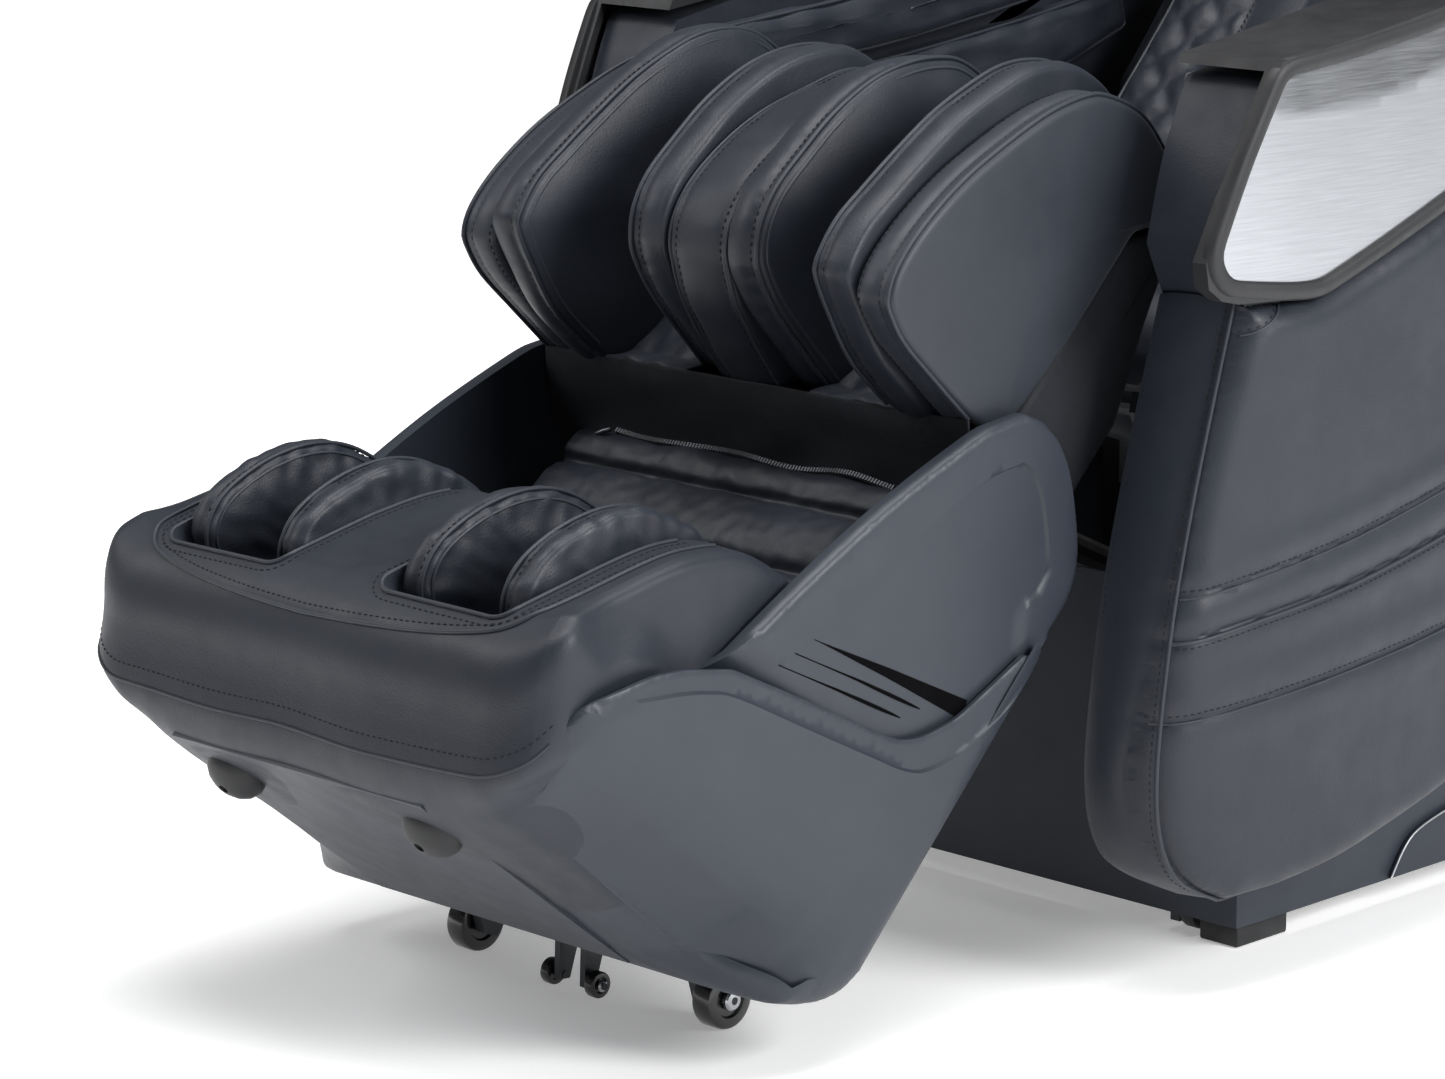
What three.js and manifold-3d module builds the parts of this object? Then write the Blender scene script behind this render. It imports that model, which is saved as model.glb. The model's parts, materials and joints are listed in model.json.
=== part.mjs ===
// Massage chair with a sliding foot section, modelled in millimetres, +Z up, front facing -Y.
// Outlines are drawn in a drafting frame whose floor is Z = 0 and whose Y = 0 lies near the middle
// of the seat; the whole chair is then moved along Y so that its footprint is centred on the origin.

import * as THREE from 'three';
import { mergeVertices } from 'three/addons/utils/BufferGeometryUtils.js';
import Module from 'manifold-3d';

const wasm = await Module();
wasm.setup();

// ---------------------------------------------------------------- driving dimensions

const CENTRE_SHIFT_Y = 290.35; // drafting frame to footprint centre
const GAP = 0.5; // clearance between neighbouring solids
const ROUND = 16; // sides of a round piece

const BASE = { halfWidth: 308, front: -360, rear: 250, bottom: 20, top: 300, wall: 4 };
const RAIL = { inner: 225, outer: 261, bottom: 30.3, top: 66 };
const FOOT = { inner: 262, outer: 303, front: -352, rear: -285, height: 19.5 };
const TRANSPORT_WHEEL = { radius: 17, inner: 239, width: 15, y: -334, z: 20, bore: 5 };
const SIDE_PLATE = { inner: 200, outer: 212 };

const KNEE = { y: -360, z: 450, swing: 45, pin: 7, hub: 13 };
const RECLINE = { y: 80, z: 450, pin: 8, hub: 24 };

const SEAT = { halfWidth: 214, front: -322, rear: -32, bottom: 409, top: 515 };
const ARM = { inner: 288, outer: 400, front: -545, rear: 290 };
const PANEL_SKIN = 6; // thickness of the brushed side panel
const PANEL_RECESS = 15; // depth of the recess that holds the panel and its rim
const STAND = { x: 333, y: -215, radius: 15, height: 150 };
const TABLET = { width: 168, height: 112, depth: 10, turn: 45 };

const LEG = { coverInner: 253, coverOuter: 270.5, shellInner: 272, shellOuter: 280 };
const CASTER = { x: 145, y: -800, radius: 24.5, width: 20, bore: 5.5 };
const ROLLER = { x: 26, radius: 11, width: 9, bore: 3.5, down: 636, out: 18 };
const BUMPER = { x: 115, out: 335, down: 675, height: 17, radius: 24 };
const WELL = { inner: 57, outer: 197, down: 585, out: 140 };

const TRACK = { inner: 140, outer: 160, front: 68, rear: 108 };
const KNEAD = { radius: 22, inner: 34, width: 28, bore: 6.5 };
const LEG_ACTUATOR = { x: 0, radius: 20, length: 200, tucked: 130, reach: 100, crank: 118 };
const BACK_ACTUATOR = { x: 70, radius: 18, length: 190, tucked: 100, reach: 115, crank: 100, sweep: 35 };

// ---------------------------------------------------------------- materials

function finish(color, roughness, metalness = 0) {
  return new THREE.MeshStandardMaterial({ color, roughness, metalness });
}

const LEATHER = finish(0x15171b, 0.5);
const LINING = finish(0x0f1013, 0.8);
const SHELL = finish(0x23262b, 0.45);
const BLACK_PLASTIC = finish(0x0c0d0f, 0.35);
const BRUSHED = finish(0xb9bcc1, 0.3, 0.9);
const RUBBER = finish(0x0b0b0c, 0.8);
const STEEL = finish(0x2c2e31, 0.5, 0.8);
const BRIGHT_STEEL = finish(0x9a9da2, 0.25, 1);

// ---------------------------------------------------------------- solids

function toSolid(geometry) {
  const bare = geometry.clone();
  bare.deleteAttribute('normal');
  bare.deleteAttribute('uv');
  const merged = mergeVertices(bare, 1e-3);
  const vertProperties = new Float32Array(merged.attributes.position.array);
  const triVerts = new Uint32Array(merged.index.array);
  return new wasm.Manifold(new wasm.Mesh({ numProp: 3, vertProperties, triVerts }));
}

function toGeometry(solid) {
  const mesh = solid.getMesh();
  const geometry = new THREE.BufferGeometry();
  geometry.setAttribute('position', new THREE.BufferAttribute(mesh.vertProperties, 3));
  geometry.setIndex(new THREE.BufferAttribute(mesh.triVerts, 1));
  return geometry;
}

function join(...geometries) {
  return toGeometry(geometries.map(toSolid).reduce((whole, next) => whole.add(next)));
}

function cut(geometry, ...tools) {
  return toGeometry(tools.map(toSolid).reduce((whole, tool) => whole.subtract(tool), toSolid(geometry)));
}

function common(first, second) {
  return toGeometry(toSolid(first).intersect(toSolid(second)));
}

// ---------------------------------------------------------------- shape helpers

// Sorts a pair of distances from the centre plane into the low and high X of one side.
function span(side, inner, outer) {
  return side > 0 ? [inner, outer] : [-outer, -inner];
}

function block([x0, x1], [y0, y1], [z0, z1]) {
  const geometry = new THREE.BoxGeometry(x1 - x0, y1 - y0, z1 - z0);
  return geometry.translate((x0 + x1) / 2, (y0 + y1) / 2, (z0 + z1) / 2);
}

function extrude(outline, depth) {
  const shape = new THREE.Shape(outline.map(([a, b]) => new THREE.Vector2(a, b)));
  return new THREE.ExtrudeGeometry(shape, { depth, bevelEnabled: false });
}

// A plate whose outline lies in the Y-Z plane, reaching from one X to another.
function plate(outline, [x0, x1]) {
  const basis = new THREE.Matrix4().set(0, 0, 1, x0, 1, 0, 0, 0, 0, 1, 0, 0, 0, 0, 0, 1);
  return extrude(outline, x1 - x0).applyMatrix4(basis);
}

// A column whose outline lies in the X-Y plane, reaching from one Z to another.
function column(outline, [z0, z1]) {
  return extrude(outline, z1 - z0).translate(0, 0, z0);
}

// A smooth run of points through a few control points.
function curve(points, steps) {
  const spline = new THREE.SplineCurve(points.map(([a, b]) => new THREE.Vector2(a, b)));
  return spline.getPoints(steps).map((point) => [point.x, point.y]);
}

function circle([a, b], radius, sides = ROUND) {
  return Array.from({ length: sides }, (_, i) => {
    const angle = (2 * Math.PI * i) / sides;
    return [a + radius * Math.cos(angle), b + radius * Math.sin(angle)];
  });
}

// The same outline moved towards its middle by a share of its size.
function shrink(outline, share) {
  const average = (axis) => outline.reduce((sum, point) => sum + point[axis], 0) / outline.length;
  const middle = [average(0), average(1)];
  return outline.map((point) => point.map((value, axis) => value + (middle[axis] - value) * share));
}

// Walls between rings of equal length, with a cap on the first and last ring; each ring lies at one X.
function skin(loops) {
  const flat = loops[0].outline.map(([y, z]) => new THREE.Vector2(y, z));
  if (THREE.ShapeUtils.area(flat) < 0) {
    return skin(loops.map(({ x, outline }) => ({ x, outline: [...outline].reverse() })));
  }
  const count = flat.length;
  const positions = loops.flatMap(({ x, outline }) => outline.flatMap(([y, z]) => [x, y, z]));
  const faces = [];
  for (let loop = 0; loop + 1 < loops.length; loop += 1) {
    for (let i = 0; i < count; i += 1) {
      const a = loop * count + i;
      const b = loop * count + ((i + 1) % count);
      faces.push(a, b, a + count, b, b + count, a + count);
    }
  }
  const last = (loops.length - 1) * count;
  for (const [a, b, c] of THREE.ShapeUtils.triangulateShape(flat, [])) {
    faces.push(a, c, b, last + a, last + b, last + c);
  }
  const geometry = new THREE.BufferGeometry();
  geometry.setAttribute('position', new THREE.Float32BufferAttribute(positions, 3));
  geometry.setIndex(faces);
  return geometry;
}

// A padded panel across X: full size in the middle, drawn in a little at both faces.
function pad(outline, [x0, x1], edge = 8, share = 0.1) {
  return skin([
    { x: x0, outline: shrink(outline, share) },
    { x: x0 + edge, outline },
    { x: x1 - edge, outline },
    { x: x1, outline: shrink(outline, share) },
  ]);
}

function bar([y, z], radius, [x0, x1], sides = ROUND) {
  return plate(circle([y, z], radius, sides), [x0, x1]);
}

// A wheel on an X axle with a bore through it and softened rims.
function wheel([y, z], radius, bore, [x0, x1]) {
  const soft = radius * 0.12;
  const profile = [
    [bore, x0], [radius - soft, x0], [radius, x0 + soft],
    [radius, x1 - soft], [radius - soft, x1], [bore, x1], [bore, x0],
  ];
  const geometry = new THREE.LatheGeometry(profile.map(([r, x]) => new THREE.Vector2(r, x)), ROUND);
  return geometry.rotateZ(-Math.PI / 2).translate(0, y, z);
}

// A body of revolution about the line from one point in the Y-Z plane towards another.
function turned(profile, [y, z], [dy, dz], x) {
  const geometry = new THREE.LatheGeometry(profile.map(([r, d]) => new THREE.Vector2(r, d)), ROUND);
  const aim = new THREE.Quaternion().setFromUnitVectors(
    new THREE.Vector3(0, 1, 0),
    new THREE.Vector3(0, dy, dz).normalize(),
  );
  return geometry.applyQuaternion(aim).translate(x, y, z);
}

const chair = new THREE.Group();
chair.name = 'massage_chair';
chair.position.y = CENTRE_SHIFT_Y;

function place(name, geometry, material, parent = chair) {
  const mesh = new THREE.Mesh(geometry, material);
  mesh.name = name;
  parent.add(mesh);
}

// Runs a builder for the right side (+X) and the left side (-X).
function bothSides(build) {
  build(1, 'right');
  build(-1, 'left');
}

// ---------------------------------------------------------------- base

function sidePlateOutline() {
  return [
    [-300, 50], [-255, 50], [-225, 350], [20, 350], [58, 300], [62, 50], [104, 50],
    [108, 440], [98, 468], [80, 475], [60, 468], [45, 408], [-324, 408],
    [-342, 462], [-360, 472], [-378, 462], [-382, 445], [-372, 425], [-332, 375],
  ];
}

function buildBaseFrame() {
  const across = [-RAIL.outer, RAIL.outer];
  const height = [RAIL.bottom, RAIL.top];
  const pieces = [
    block(across, [-310, -270], height),
    block(across, [60, 106], height),
    block(across, [195, 235], height),
    block([-SIDE_PLATE.inner - 1, SIDE_PLATE.inner + 1], [-300, 20], [400, 408]),
    block([-20, 20], [-271, 61], height),
    block([-15, 15], [-68, -52], [60, 215]),
    block([50, 90], [-215, -196], [340, 401]),
  ];
  for (const side of [1, -1]) {
    pieces.push(
      block(span(side, RAIL.inner, RAIL.outer), [-310, 235], height),
      block(span(side, RAIL.inner, RAIL.outer), [185, 235], [0, RAIL.bottom + 1]),
      plate(sidePlateOutline(), span(side, SIDE_PLATE.inner, SIDE_PLATE.outer)),
      block(span(side, 226, 236), [-346, -280], [8, 50]),
      bar([TRANSPORT_WHEEL.y, TRANSPORT_WHEEL.z], TRANSPORT_WHEEL.bore - GAP, span(side, 235, 258), 12),
    );
  }
  const knee = bar([KNEE.y, KNEE.z], KNEE.pin + GAP, [-230, 230]);
  const recline = bar([RECLINE.y, RECLINE.z], RECLINE.pin + GAP, [-230, 230]);
  place('base_frame', cut(join(...pieces), knee, recline), STEEL);
  place('knee_pin', bar([KNEE.y, KNEE.z], KNEE.pin, [-218, 218]), BRIGHT_STEEL);
}

function buildBaseCover() {
  const { halfWidth, front, rear, bottom, top, wall } = BASE;
  const outer = block([-halfWidth, halfWidth], [front, rear], [bottom, top]);
  const inside = block(
    [wall - halfWidth, halfWidth - wall],
    [front + wall, rear - wall],
    [bottom - 1, top + 1],
  );
  const inletWindow = block([-72, 72], [rear - 10, rear + 10], [98, 182]);
  const deck = block([1 - halfWidth, halfWidth - 1], [150, rear - 1], [top - 4, top]);
  place('base_cover', join(cut(outer, inside, inletWindow), deck), SHELL);
  bothSides((side, name) => {
    const outline = [
      ...curve([[-156, 22], [-125, 56], [-60, 72]], 5),
      ...curve([[20, 90], [130, 130], [BASE.rear - 2, 190]], 4),
      [BASE.rear - 2, 22],
    ];
    const reach = span(side, halfWidth + GAP, halfWidth + 6);
    place(`rear_side_cover_${name}`, plate(outline, reach), SHELL);
    const foot = block(span(side, FOOT.inner, FOOT.outer), [FOOT.front, FOOT.rear], [0, FOOT.height]);
    place(`base_foot_${name}`, foot, RUBBER);
    const wheelSpan = span(side, TRANSPORT_WHEEL.inner, TRANSPORT_WHEEL.inner + TRANSPORT_WHEEL.width);
    const { y, z, radius, bore } = TRANSPORT_WHEEL;
    place(`transport_wheel_${name}`, wheel([y, z], radius, bore, wheelSpan), RUBBER);
  });
}

function buildElectrics() {
  const box = block([-120, 120], [110, BASE.rear - 10], [80, 200]);
  const boss = block([-66, 66], [BASE.rear - 20, BASE.rear + 1], [104, 176]);
  const inlet = block([14, 46], [BASE.rear - 14, BASE.rear + 2], [126, 150]);
  const rockerPocket = block([-46, -30], [BASE.rear - 12, BASE.rear + 2], [126, 154]);
  place('control_box', cut(join(box, boss), inlet, rockerPocket), BLACK_PLASTIC);
  const rocker = block([-45, -31], [BASE.rear - 6, BASE.rear + 4], [130, 150]);
  place('power_switch', rocker, BLACK_PLASTIC);
  const pump = join(
    block([-190, -60], [-180, -40], [80, 150]),
    bar([-110, 150], 38, [-180, -70], 16),
  );
  place('air_pump', pump, STEEL);
}

// A ram in the Y-Z plane: a blind-bored housing and the rod that slides out of it.
function buildRam(name, { x, radius, length, tucked, reach }, end, direction) {
  const [dy, dz] = direction;
  const mouth = [end[0] - dy * reach, end[1] - dz * reach];
  const boreRadius = 9.5;
  const boreEnd = 20 - length;
  const housing = [
    [0, -length], [radius, -length], [radius, 0], [boreRadius, 0], [boreRadius, boreEnd], [0, boreEnd],
  ];
  const rodRadius = 8;
  const rod = [[0, -tucked], [rodRadius, -tucked], [rodRadius, reach], [0, reach]];
  place(`${name}_actuator`, turned(housing, mouth, direction, x), STEEL);
  place(`${name}_rod`, turned(rod, mouth, direction, x), BRIGHT_STEEL);
}

// ---------------------------------------------------------------- seat and arms

function buildSeat() {
  const { halfWidth, front, rear, bottom, top } = SEAT;
  const outline = [
    [front, bottom], [rear, bottom], [rear, top - 20], [rear - 20, top - 3],
    ...curve([[-120, top - 4], [-240, top + 4], [front + 24, top - 2], [front, top - 36]], 8),
  ];
  place('seat_cushion', pad(outline, [-halfWidth, halfWidth], 20, 0.05), LEATHER);
}

// The arm seen from the side: the leather body, and the brushed panel above it.
function armLeatherOutline() {
  return [
    ...curve([[-452, 562], [-499, 402], [-523, 292], [-534, 178], [-512, 112], [-455, 79]], 10),
    ...curve([[-400, 80], [-309, 94], [-181, 129], [0, 200], [120, 270], [230, 370]], 8),
    ...curve([[275, 480], [282, 600], [236, 780]], 4),
    ...curve([[200, 790], [100, 750], [-50, 687], [-203, 625], [-352, 571], [-400, 562]], 8),
  ];
}

function armPanelOutline() {
  return [
    ...curve([[-424, 741], [-460, 672], [-488, 604]], 4),
    ...curve([[-478, 584], [-392, 575], [-352, 584], [-203, 638], [-50, 700], [100, 763], [196, 800]], 12),
    ...curve([[190, 812], [100, 806], [-50, 793], [-197, 774], [-260, 763], [-350, 750]], 8),
  ];
}

// The opening in the rim: the panel's outline moved a little each way, so that it is wider all round.
function armPanelWindow(reach) {
  const moves = [[2, 0], [-2, 0], [0, 2], [0, -2]];
  return join(...moves.map(([dy, dz]) => plate(armPanelOutline(), reach).translate(0, dy, dz)));
}

function armRimOutline() {
  return [
    ...curve([[-430, 752], [-470, 672], [-500, 600], [-492, 574], [-470, 566]], 6),
    ...curve([[-395, 564.5], [-352, 573.5], [-203, 627.5], [-50, 689.5], [100, 752.5], [212, 796]], 10),
    ...curve([[214, 822], [100, 821], [-50, 808], [-197, 789], [-260, 778], [-350, 764]], 8),
  ];
}

// The plate along the top of the arm, which carries the rim.
function armTopOutline() {
  return [
    ...curve([[-430, 752], [-350, 764], [-260, 778], [-197, 789], [-50, 808], [100, 821], [214, 822]], 8),
    ...curve([[212, 815], [100, 811], [-50, 798], [-197, 779], [-260, 768], [-350, 755], [-434, 744]], 8),
  ];
}

// The padded core behind the panel, overlapping the leather body below it.
function armCoreOutline() {
  return [
    [-444, 550], ...curve([[-470, 604], [-452, 672], [-424, 734]], 4),
    ...curve([[-350, 748.5], [-260, 762.5], [-197, 773.5], [-50, 792.5], [100, 805.5], [198, 808]], 8),
    ...curve([[204, 780], [100, 735], [-50, 675], [-203, 612], [-352, 558]], 6),
  ];
}

// The arm seen from above, with a share of the outer surface taken away.
function armPlan(side, inset) {
  const outer = [
    [330 - inset, ARM.front + inset * 0.6], [366 - inset, -520], [386 - inset, -450], [396 - inset, -330],
    [ARM.outer - inset, -120], [398 - inset, 60], [380 - inset, 200], [345 - inset, ARM.rear],
  ];
  const plan = [[ARM.inner, ARM.front + inset * 0.6], ...curve(outer, 12), [ARM.inner, ARM.rear]];
  return plan.map(([x, y]) => [side * x, y]);
}

function buildArm(side, name) {
  const everything = [-500, 500];
  const height = [0, 900];
  const full = column(armPlan(side, 0), height);
  const core = column(armPlan(side, PANEL_RECESS), height);
  const overBase = span(side, ARM.inner - 1, BASE.halfWidth + 10);
  const baseRecess = block(overBase, [BASE.front - 4, 300], [0, BASE.top + 20]);
  const leather = common(full, plate(armLeatherOutline(), everything));
  const upper = common(core, plate(armCoreOutline(), everything));
  place(`arm_body_${name}`, cut(join(leather, upper), baseRecess), LEATHER);

  const outerBand = cut(full, column(armPlan(side, PANEL_RECESS - 1), height));
  const ring = cut(plate(armRimOutline(), everything), armPanelWindow(everything));
  const top = common(full, plate(armTopOutline(), everything));
  place(`arm_rim_${name}`, join(common(outerBand, ring), top), BLACK_PLASTIC);

  const panelBand = cut(column(armPlan(side, 3), height), column(armPlan(side, 3 + PANEL_SKIN), height));
  place(`arm_panel_${name}`, common(panelBand, plate(armPanelOutline(), everything)), BRUSHED);

  const padOutline = [
    ...curve([[-395, 700], [-240, 694], [-60, 715], [40, 731]], 6),
    ...curve([[44, 768], [-60, 760], [-240, 742], [-390, 728]], 6),
  ];
  place(`arm_pad_${name}`, pad(padOutline, span(side, 246, ARM.inner - 1), 10, 0.12), LEATHER);
  const hipOutline = [
    ...curve([[-310, 560], [-180, 590], [-60, 622], [50, 656], [150, 690]], 6),
    ...curve([[140, 728], [0, 706], [-200, 682], [-330, 680]], 5),
  ];
  place(`hip_pad_${name}`, pad(hipOutline, span(side, 248, ARM.inner - 1), 10, 0.08), LEATHER);
}

function buildRemote() {
  const { x, y, radius, height } = STAND;
  const floor = 791;
  const stem = new THREE.CylinderGeometry(radius, radius, height, ROUND)
    .rotateX(Math.PI / 2)
    .translate(x, y, floor + height / 2);
  const cradle = new THREE.BoxGeometry(100, 24, 22)
    .rotateZ(THREE.MathUtils.degToRad(TABLET.turn))
    .translate(x, y, floor + height - 1);
  place('remote_stand', join(stem, cradle), BLACK_PLASTIC);
  const bottom = floor + height + 12;
  const { width, height: tall, depth } = TABLET;
  const tablet = new THREE.BoxGeometry(width, depth, tall)
    .rotateZ(THREE.MathUtils.degToRad(TABLET.turn))
    .translate(x, y, bottom + tall / 2);
  place('remote_tablet', tablet, BLACK_PLASTIC);
}

// ---------------------------------------------------------------- backrest

const BACK_FRONT = [
  [-20, 535], [50, 610], [149, 718], [230, 820], [300, 930], [350, 1040], [385, 1130], [400, 1180],
];

// The front line of the back, pushed rearwards by a distance measured square to it.
function backLine(distance, steps = 12) {
  const spline = new THREE.SplineCurve(BACK_FRONT.map(([y, z]) => new THREE.Vector2(y, z)));
  return Array.from({ length: steps + 1 }, (_, i) => {
    const point = spline.getPoint(i / steps);
    const along = spline.getTangent(i / steps);
    return [point.x + along.y * distance, point.y - along.x * distance];
  });
}

function backStrip(front, rear) {
  return [...backLine(front), ...backLine(rear).reverse()];
}

function buildBackShell() {
  const outer = [
    ...curve([[150, 505], [170, 455], [280, 470], [390, 600], [480, 800]], 8),
    ...curve([[520, 900], [552, 1010], [568, 1130], [545, 1215], [480, 1250], [425, 1225]], 9),
    ...backLine(70, 8).reverse().slice(0, 6),
  ];
  const inner = [
    ...curve([[160, 535], [178, 470], [275, 482], [380, 606], [469, 803]], 8),
    ...curve([[509, 903], [541, 1012], [557, 1128], [535, 1206], [480, 1238], [430, 1190]], 9),
    ...backLine(20, 8).reverse().slice(0, 6),
  ];
  const shell = cut(plate(outer, [-280, 280]), plate(inner, [-272, 272]));
  place('back_shell', shell, SHELL);
}

function buildBackTrack() {
  const rails = [];
  for (const side of [1, -1]) {
    rails.push(
      plate(backStrip(TRACK.front, TRACK.rear), span(side, TRACK.inner, TRACK.outer)),
      bar([RECLINE.y, RECLINE.z], RECLINE.hub, span(side, TRACK.inner, TRACK.outer)),
      bar([RECLINE.y, RECLINE.z], RECLINE.pin, span(side, TRACK.outer - 1, SIDE_PLATE.outer + 2)),
    );
  }
  const across = [-TRACK.outer + 1, TRACK.outer - 1];
  const top = backLine((TRACK.front + TRACK.rear) / 2).at(-1);
  rails.push(bar([RECLINE.y, RECLINE.z], 13, across), bar([top[0] - 6, top[1] - 14], 12, across));
  const { x, crank, sweep } = BACK_ACTUATOR;
  const lean = THREE.MathUtils.degToRad(sweep / 2);
  const end = [RECLINE.y + crank * Math.sin(lean), RECLINE.z - crank * Math.cos(lean)];
  for (const cheek of [[x - 20, x - 12], [x + 12, x + 20]]) {
    rails.push(plate([
      [RECLINE.y - 12, RECLINE.z], [end[0] - 10, end[1] - 6], [end[0], end[1] - 12],
      [end[0] + 10, end[1] - 6], [RECLINE.y + 12, RECLINE.z],
    ], cheek));
  }
  place('back_track', join(...rails), STEEL);
  buildRam('back', BACK_ACTUATOR, end, [1, 0]);
}

function buildBackSoft() {
  place('back_cushion', pad(backStrip(0, 65), [-210, 210], 16, 0.03), LEATHER);
  bothSides((side, name) => {
    const outline = [
      ...curve([[72, 790], [112, 880], [175, 985], [262, 1090], [345, 1150]], 7),
      ...curve([[412, 1165], [425, 1100], [380, 990], [320, 880], [240, 790], [170, 745], [105, 745]], 8),
    ];
    place(`side_wing_${name}`, pad(outline, span(side, 214, 269), 12, 0.1), LEATHER);
  });
  const surface = backLine(-3);
  const low = surface[7];
  const high = surface[11];
  const along = new THREE.Vector2(high[0] - low[0], high[1] - low[1]).normalize();
  const depth = 55;
  const front = (point) => [point[0] - along.y * depth, point[1] + along.x * depth];
  const between = (a, b, share) => a.map((value, axis) => value + (b[axis] - value) * share);
  const outline = [low, high, between(high, front(high), 0.6), between(front(high), front(low), 0.2),
    between(front(low), front(high), 0.2), between(low, front(low), 0.6)];
  place('head_pillow', pad(outline, [-125, 125], 18, 0.12), LEATHER);
}

function buildCarriage() {
  const local = new THREE.Group();
  local.position.set(0, 379, 884.5);
  local.rotation.x = THREE.MathUtils.degToRad(-30);
  chair.add(local);
  const axle = bar([0, 0], KNEAD.bore - GAP, [-70, 70], 12);
  const arm = block([-28, 28], [-8, 50], [-14, 14]);
  const body = block([-120, 120], [40, 84], [-48, 48]);
  place('massage_carriage', join(axle, arm, body), STEEL, local);
  bothSides((side, name) => {
    const reach = span(side, KNEAD.inner, KNEAD.inner + KNEAD.width);
    place(`kneading_wheel_${name}`, wheel([0, 0], KNEAD.radius, KNEAD.bore, reach), RUBBER, local);
  });
}

// ---------------------------------------------------------------- leg rest
// The leg rest is drawn hanging straight down from the knee pin and then swung forward.
// Its outlines are given as [down, out]: the distance down the leg from the pin, and out from the
// line of the leg towards the front.

const leg = new THREE.Group();
leg.position.set(0, KNEE.y, KNEE.z);
leg.rotation.x = THREE.MathUtils.degToRad(-KNEE.swing);
chair.add(leg);

function onLeg(points) {
  return points.map(([down, out]) => [-out, -down]);
}

function legPlate(points, reach) {
  return plate(onLeg(points), reach);
}

function legPad(points, reach, edge = 8, share = 0.08) {
  return pad(onLeg(points), reach, edge, share);
}

function legBlock(reach, [down0, down1], [out0, out1]) {
  return block(reach, [-out1, -out0], [-down1, -down0]);
}

function coverOutline() {
  return [
    ...curve([[245, 33], [212, 33], [185, 45], [163, 69], [139, 106], [130, 135]], 7),
    ...curve([[131, 160], [139, 180]], 1),
    ...curve([[166, 201], [190, 215], [283, 255], [388, 290], [490, 318]], 6),
    [490, 82], [455, 38], [428, 33],
  ];
}

// The raised outer face of the cover, which the foot shell slides past.
function coverFaceOutline() {
  return [
    ...curve([[250, 36], [200, 45], [172, 75], [152, 115], [150, 150], [160, 175]], 8),
    ...curve([[189, 192], [270, 232], [373, 268], [470, 298]], 5),
    [482, 300], [482, 78], [450, 40], [430, 36],
  ];
}

function buildCalfCovers() {
  bothSides((side, name) => {
    const sheet = legPlate(coverOutline(), span(side, LEG.coverInner, LEG.coverOuter - 6));
    const face = legPlate(coverFaceOutline(), span(side, LEG.coverOuter - 8, LEG.coverOuter));
    place(`calf_cover_${name}`, join(sheet, face), SHELL, leg);
  });
}

function buildLegFrame() {
  const crankLean = THREE.MathUtils.degToRad(134.5 - 90);
  const { crank } = LEG_ACTUATOR;
  const [crankDown, crankOut] = [crank * Math.cos(crankLean), -crank * Math.sin(crankLean)];
  const crankOutline = [[-12, 0], [crankDown - 4, crankOut - 9], [crankDown + 8, crankOut], [12, 4]];
  const railOutline = [[-14, -8], [10, -14], [60, 33], [244, 33], [244, 50], [40, 50], [-10, 14]];
  const pieces = [
    bar([0, 0], KNEE.hub, [-196, 196]),
    legBlock([-119, 119], [222, 240], [32, 46]),
  ];
  for (const side of [1, -1]) {
    pieces.push(
      legPlate(railOutline, span(side, 100, 112)),
      legBlock(span(side, 111, 120), [60, 230], [33, 45]),
      legPlate(crankOutline, span(side, 12, 20)),
    );
  }
  const pinHole = bar([0, 0], KNEE.pin + GAP, [-220, 220]);
  place('leg_frame', cut(join(...pieces), pinHole), STEEL, leg);
}

// Side views of the calf pads, from the lower front corner up over the arch and down the back.
const CALF_WING = [
  [168, 207], [170, 263], [171, 308], [165, 336], [158, 348], [136, 356], [97, 356], [43, 346],
  [-12, 327], [-58, 307], [-93, 285], [-112, 265], [-130, 222], [-129, 180], [-114, 120],
];
const CALF_OUTER = [
  [175, 222], [177, 276], [167, 321], [154, 358], [141, 366], [110, 370], [76, 365], [33, 357],
  [-18, 345], [-62, 328], [-95, 311], [-122, 287], [-140, 259], [-150, 215], [-114, 120],
];
const CALF_INNER = [
  [152, 188], [150, 240], [147, 285], [138, 320], [128, 335], [110, 348], [80, 355], [37, 352],
  [-6, 346], [-52, 331], [-88, 310], [-116, 285], [-134, 258], [-144, 215], [-114, 120],
];
const CALF_DIVIDER = [
  [166, 204], [160, 247], [150, 289], [136, 317], [125, 332], [105, 343], [74, 347], [30, 340],
  [-14, 325], [-60, 300], [-105, 272], [-128, 240], [-138, 200], [-114, 120],
];

// An arch closed along the top of the liner it stands on.
function calfOutline(arch) {
  return [...curve(arch, 18), [-58, 157], [arch[0][0] - 12, 157]];
}

function buildCalfSoft() {
  const liner = [
    [-106, 112], [-20, 86], [60, 56], [192, 56], [192, 140], [150, 150], [-52, 150], [-98, 119],
  ];
  place('calf_liner', legPad(liner, [-240, 240], 10, 0.03), LINING, leg);
  place('calf_divider', legPad(calfOutline(CALF_DIVIDER), [-34, 34], 8, 0.04), LEATHER, leg);
  bothSides((side, name) => {
    place(`calf_wing_${name}`, legPad(calfOutline(CALF_WING), span(side, 206, 245), 8, 0.04), LEATHER, leg);
    const outer = legPad(calfOutline(CALF_OUTER), span(side, 165, 204), 8, 0.04);
    const inner = legPad(calfOutline(CALF_INNER), span(side, 36, 76), 8, 0.04);
    const bed = legBlock(span(side, 50, 190), [-40, 140], [157, 176]);
    place(`calf_pads_${name}`, join(outer, inner, bed), LEATHER, leg);
  });
}

// ---------------------------------------------------------------- foot section

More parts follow.
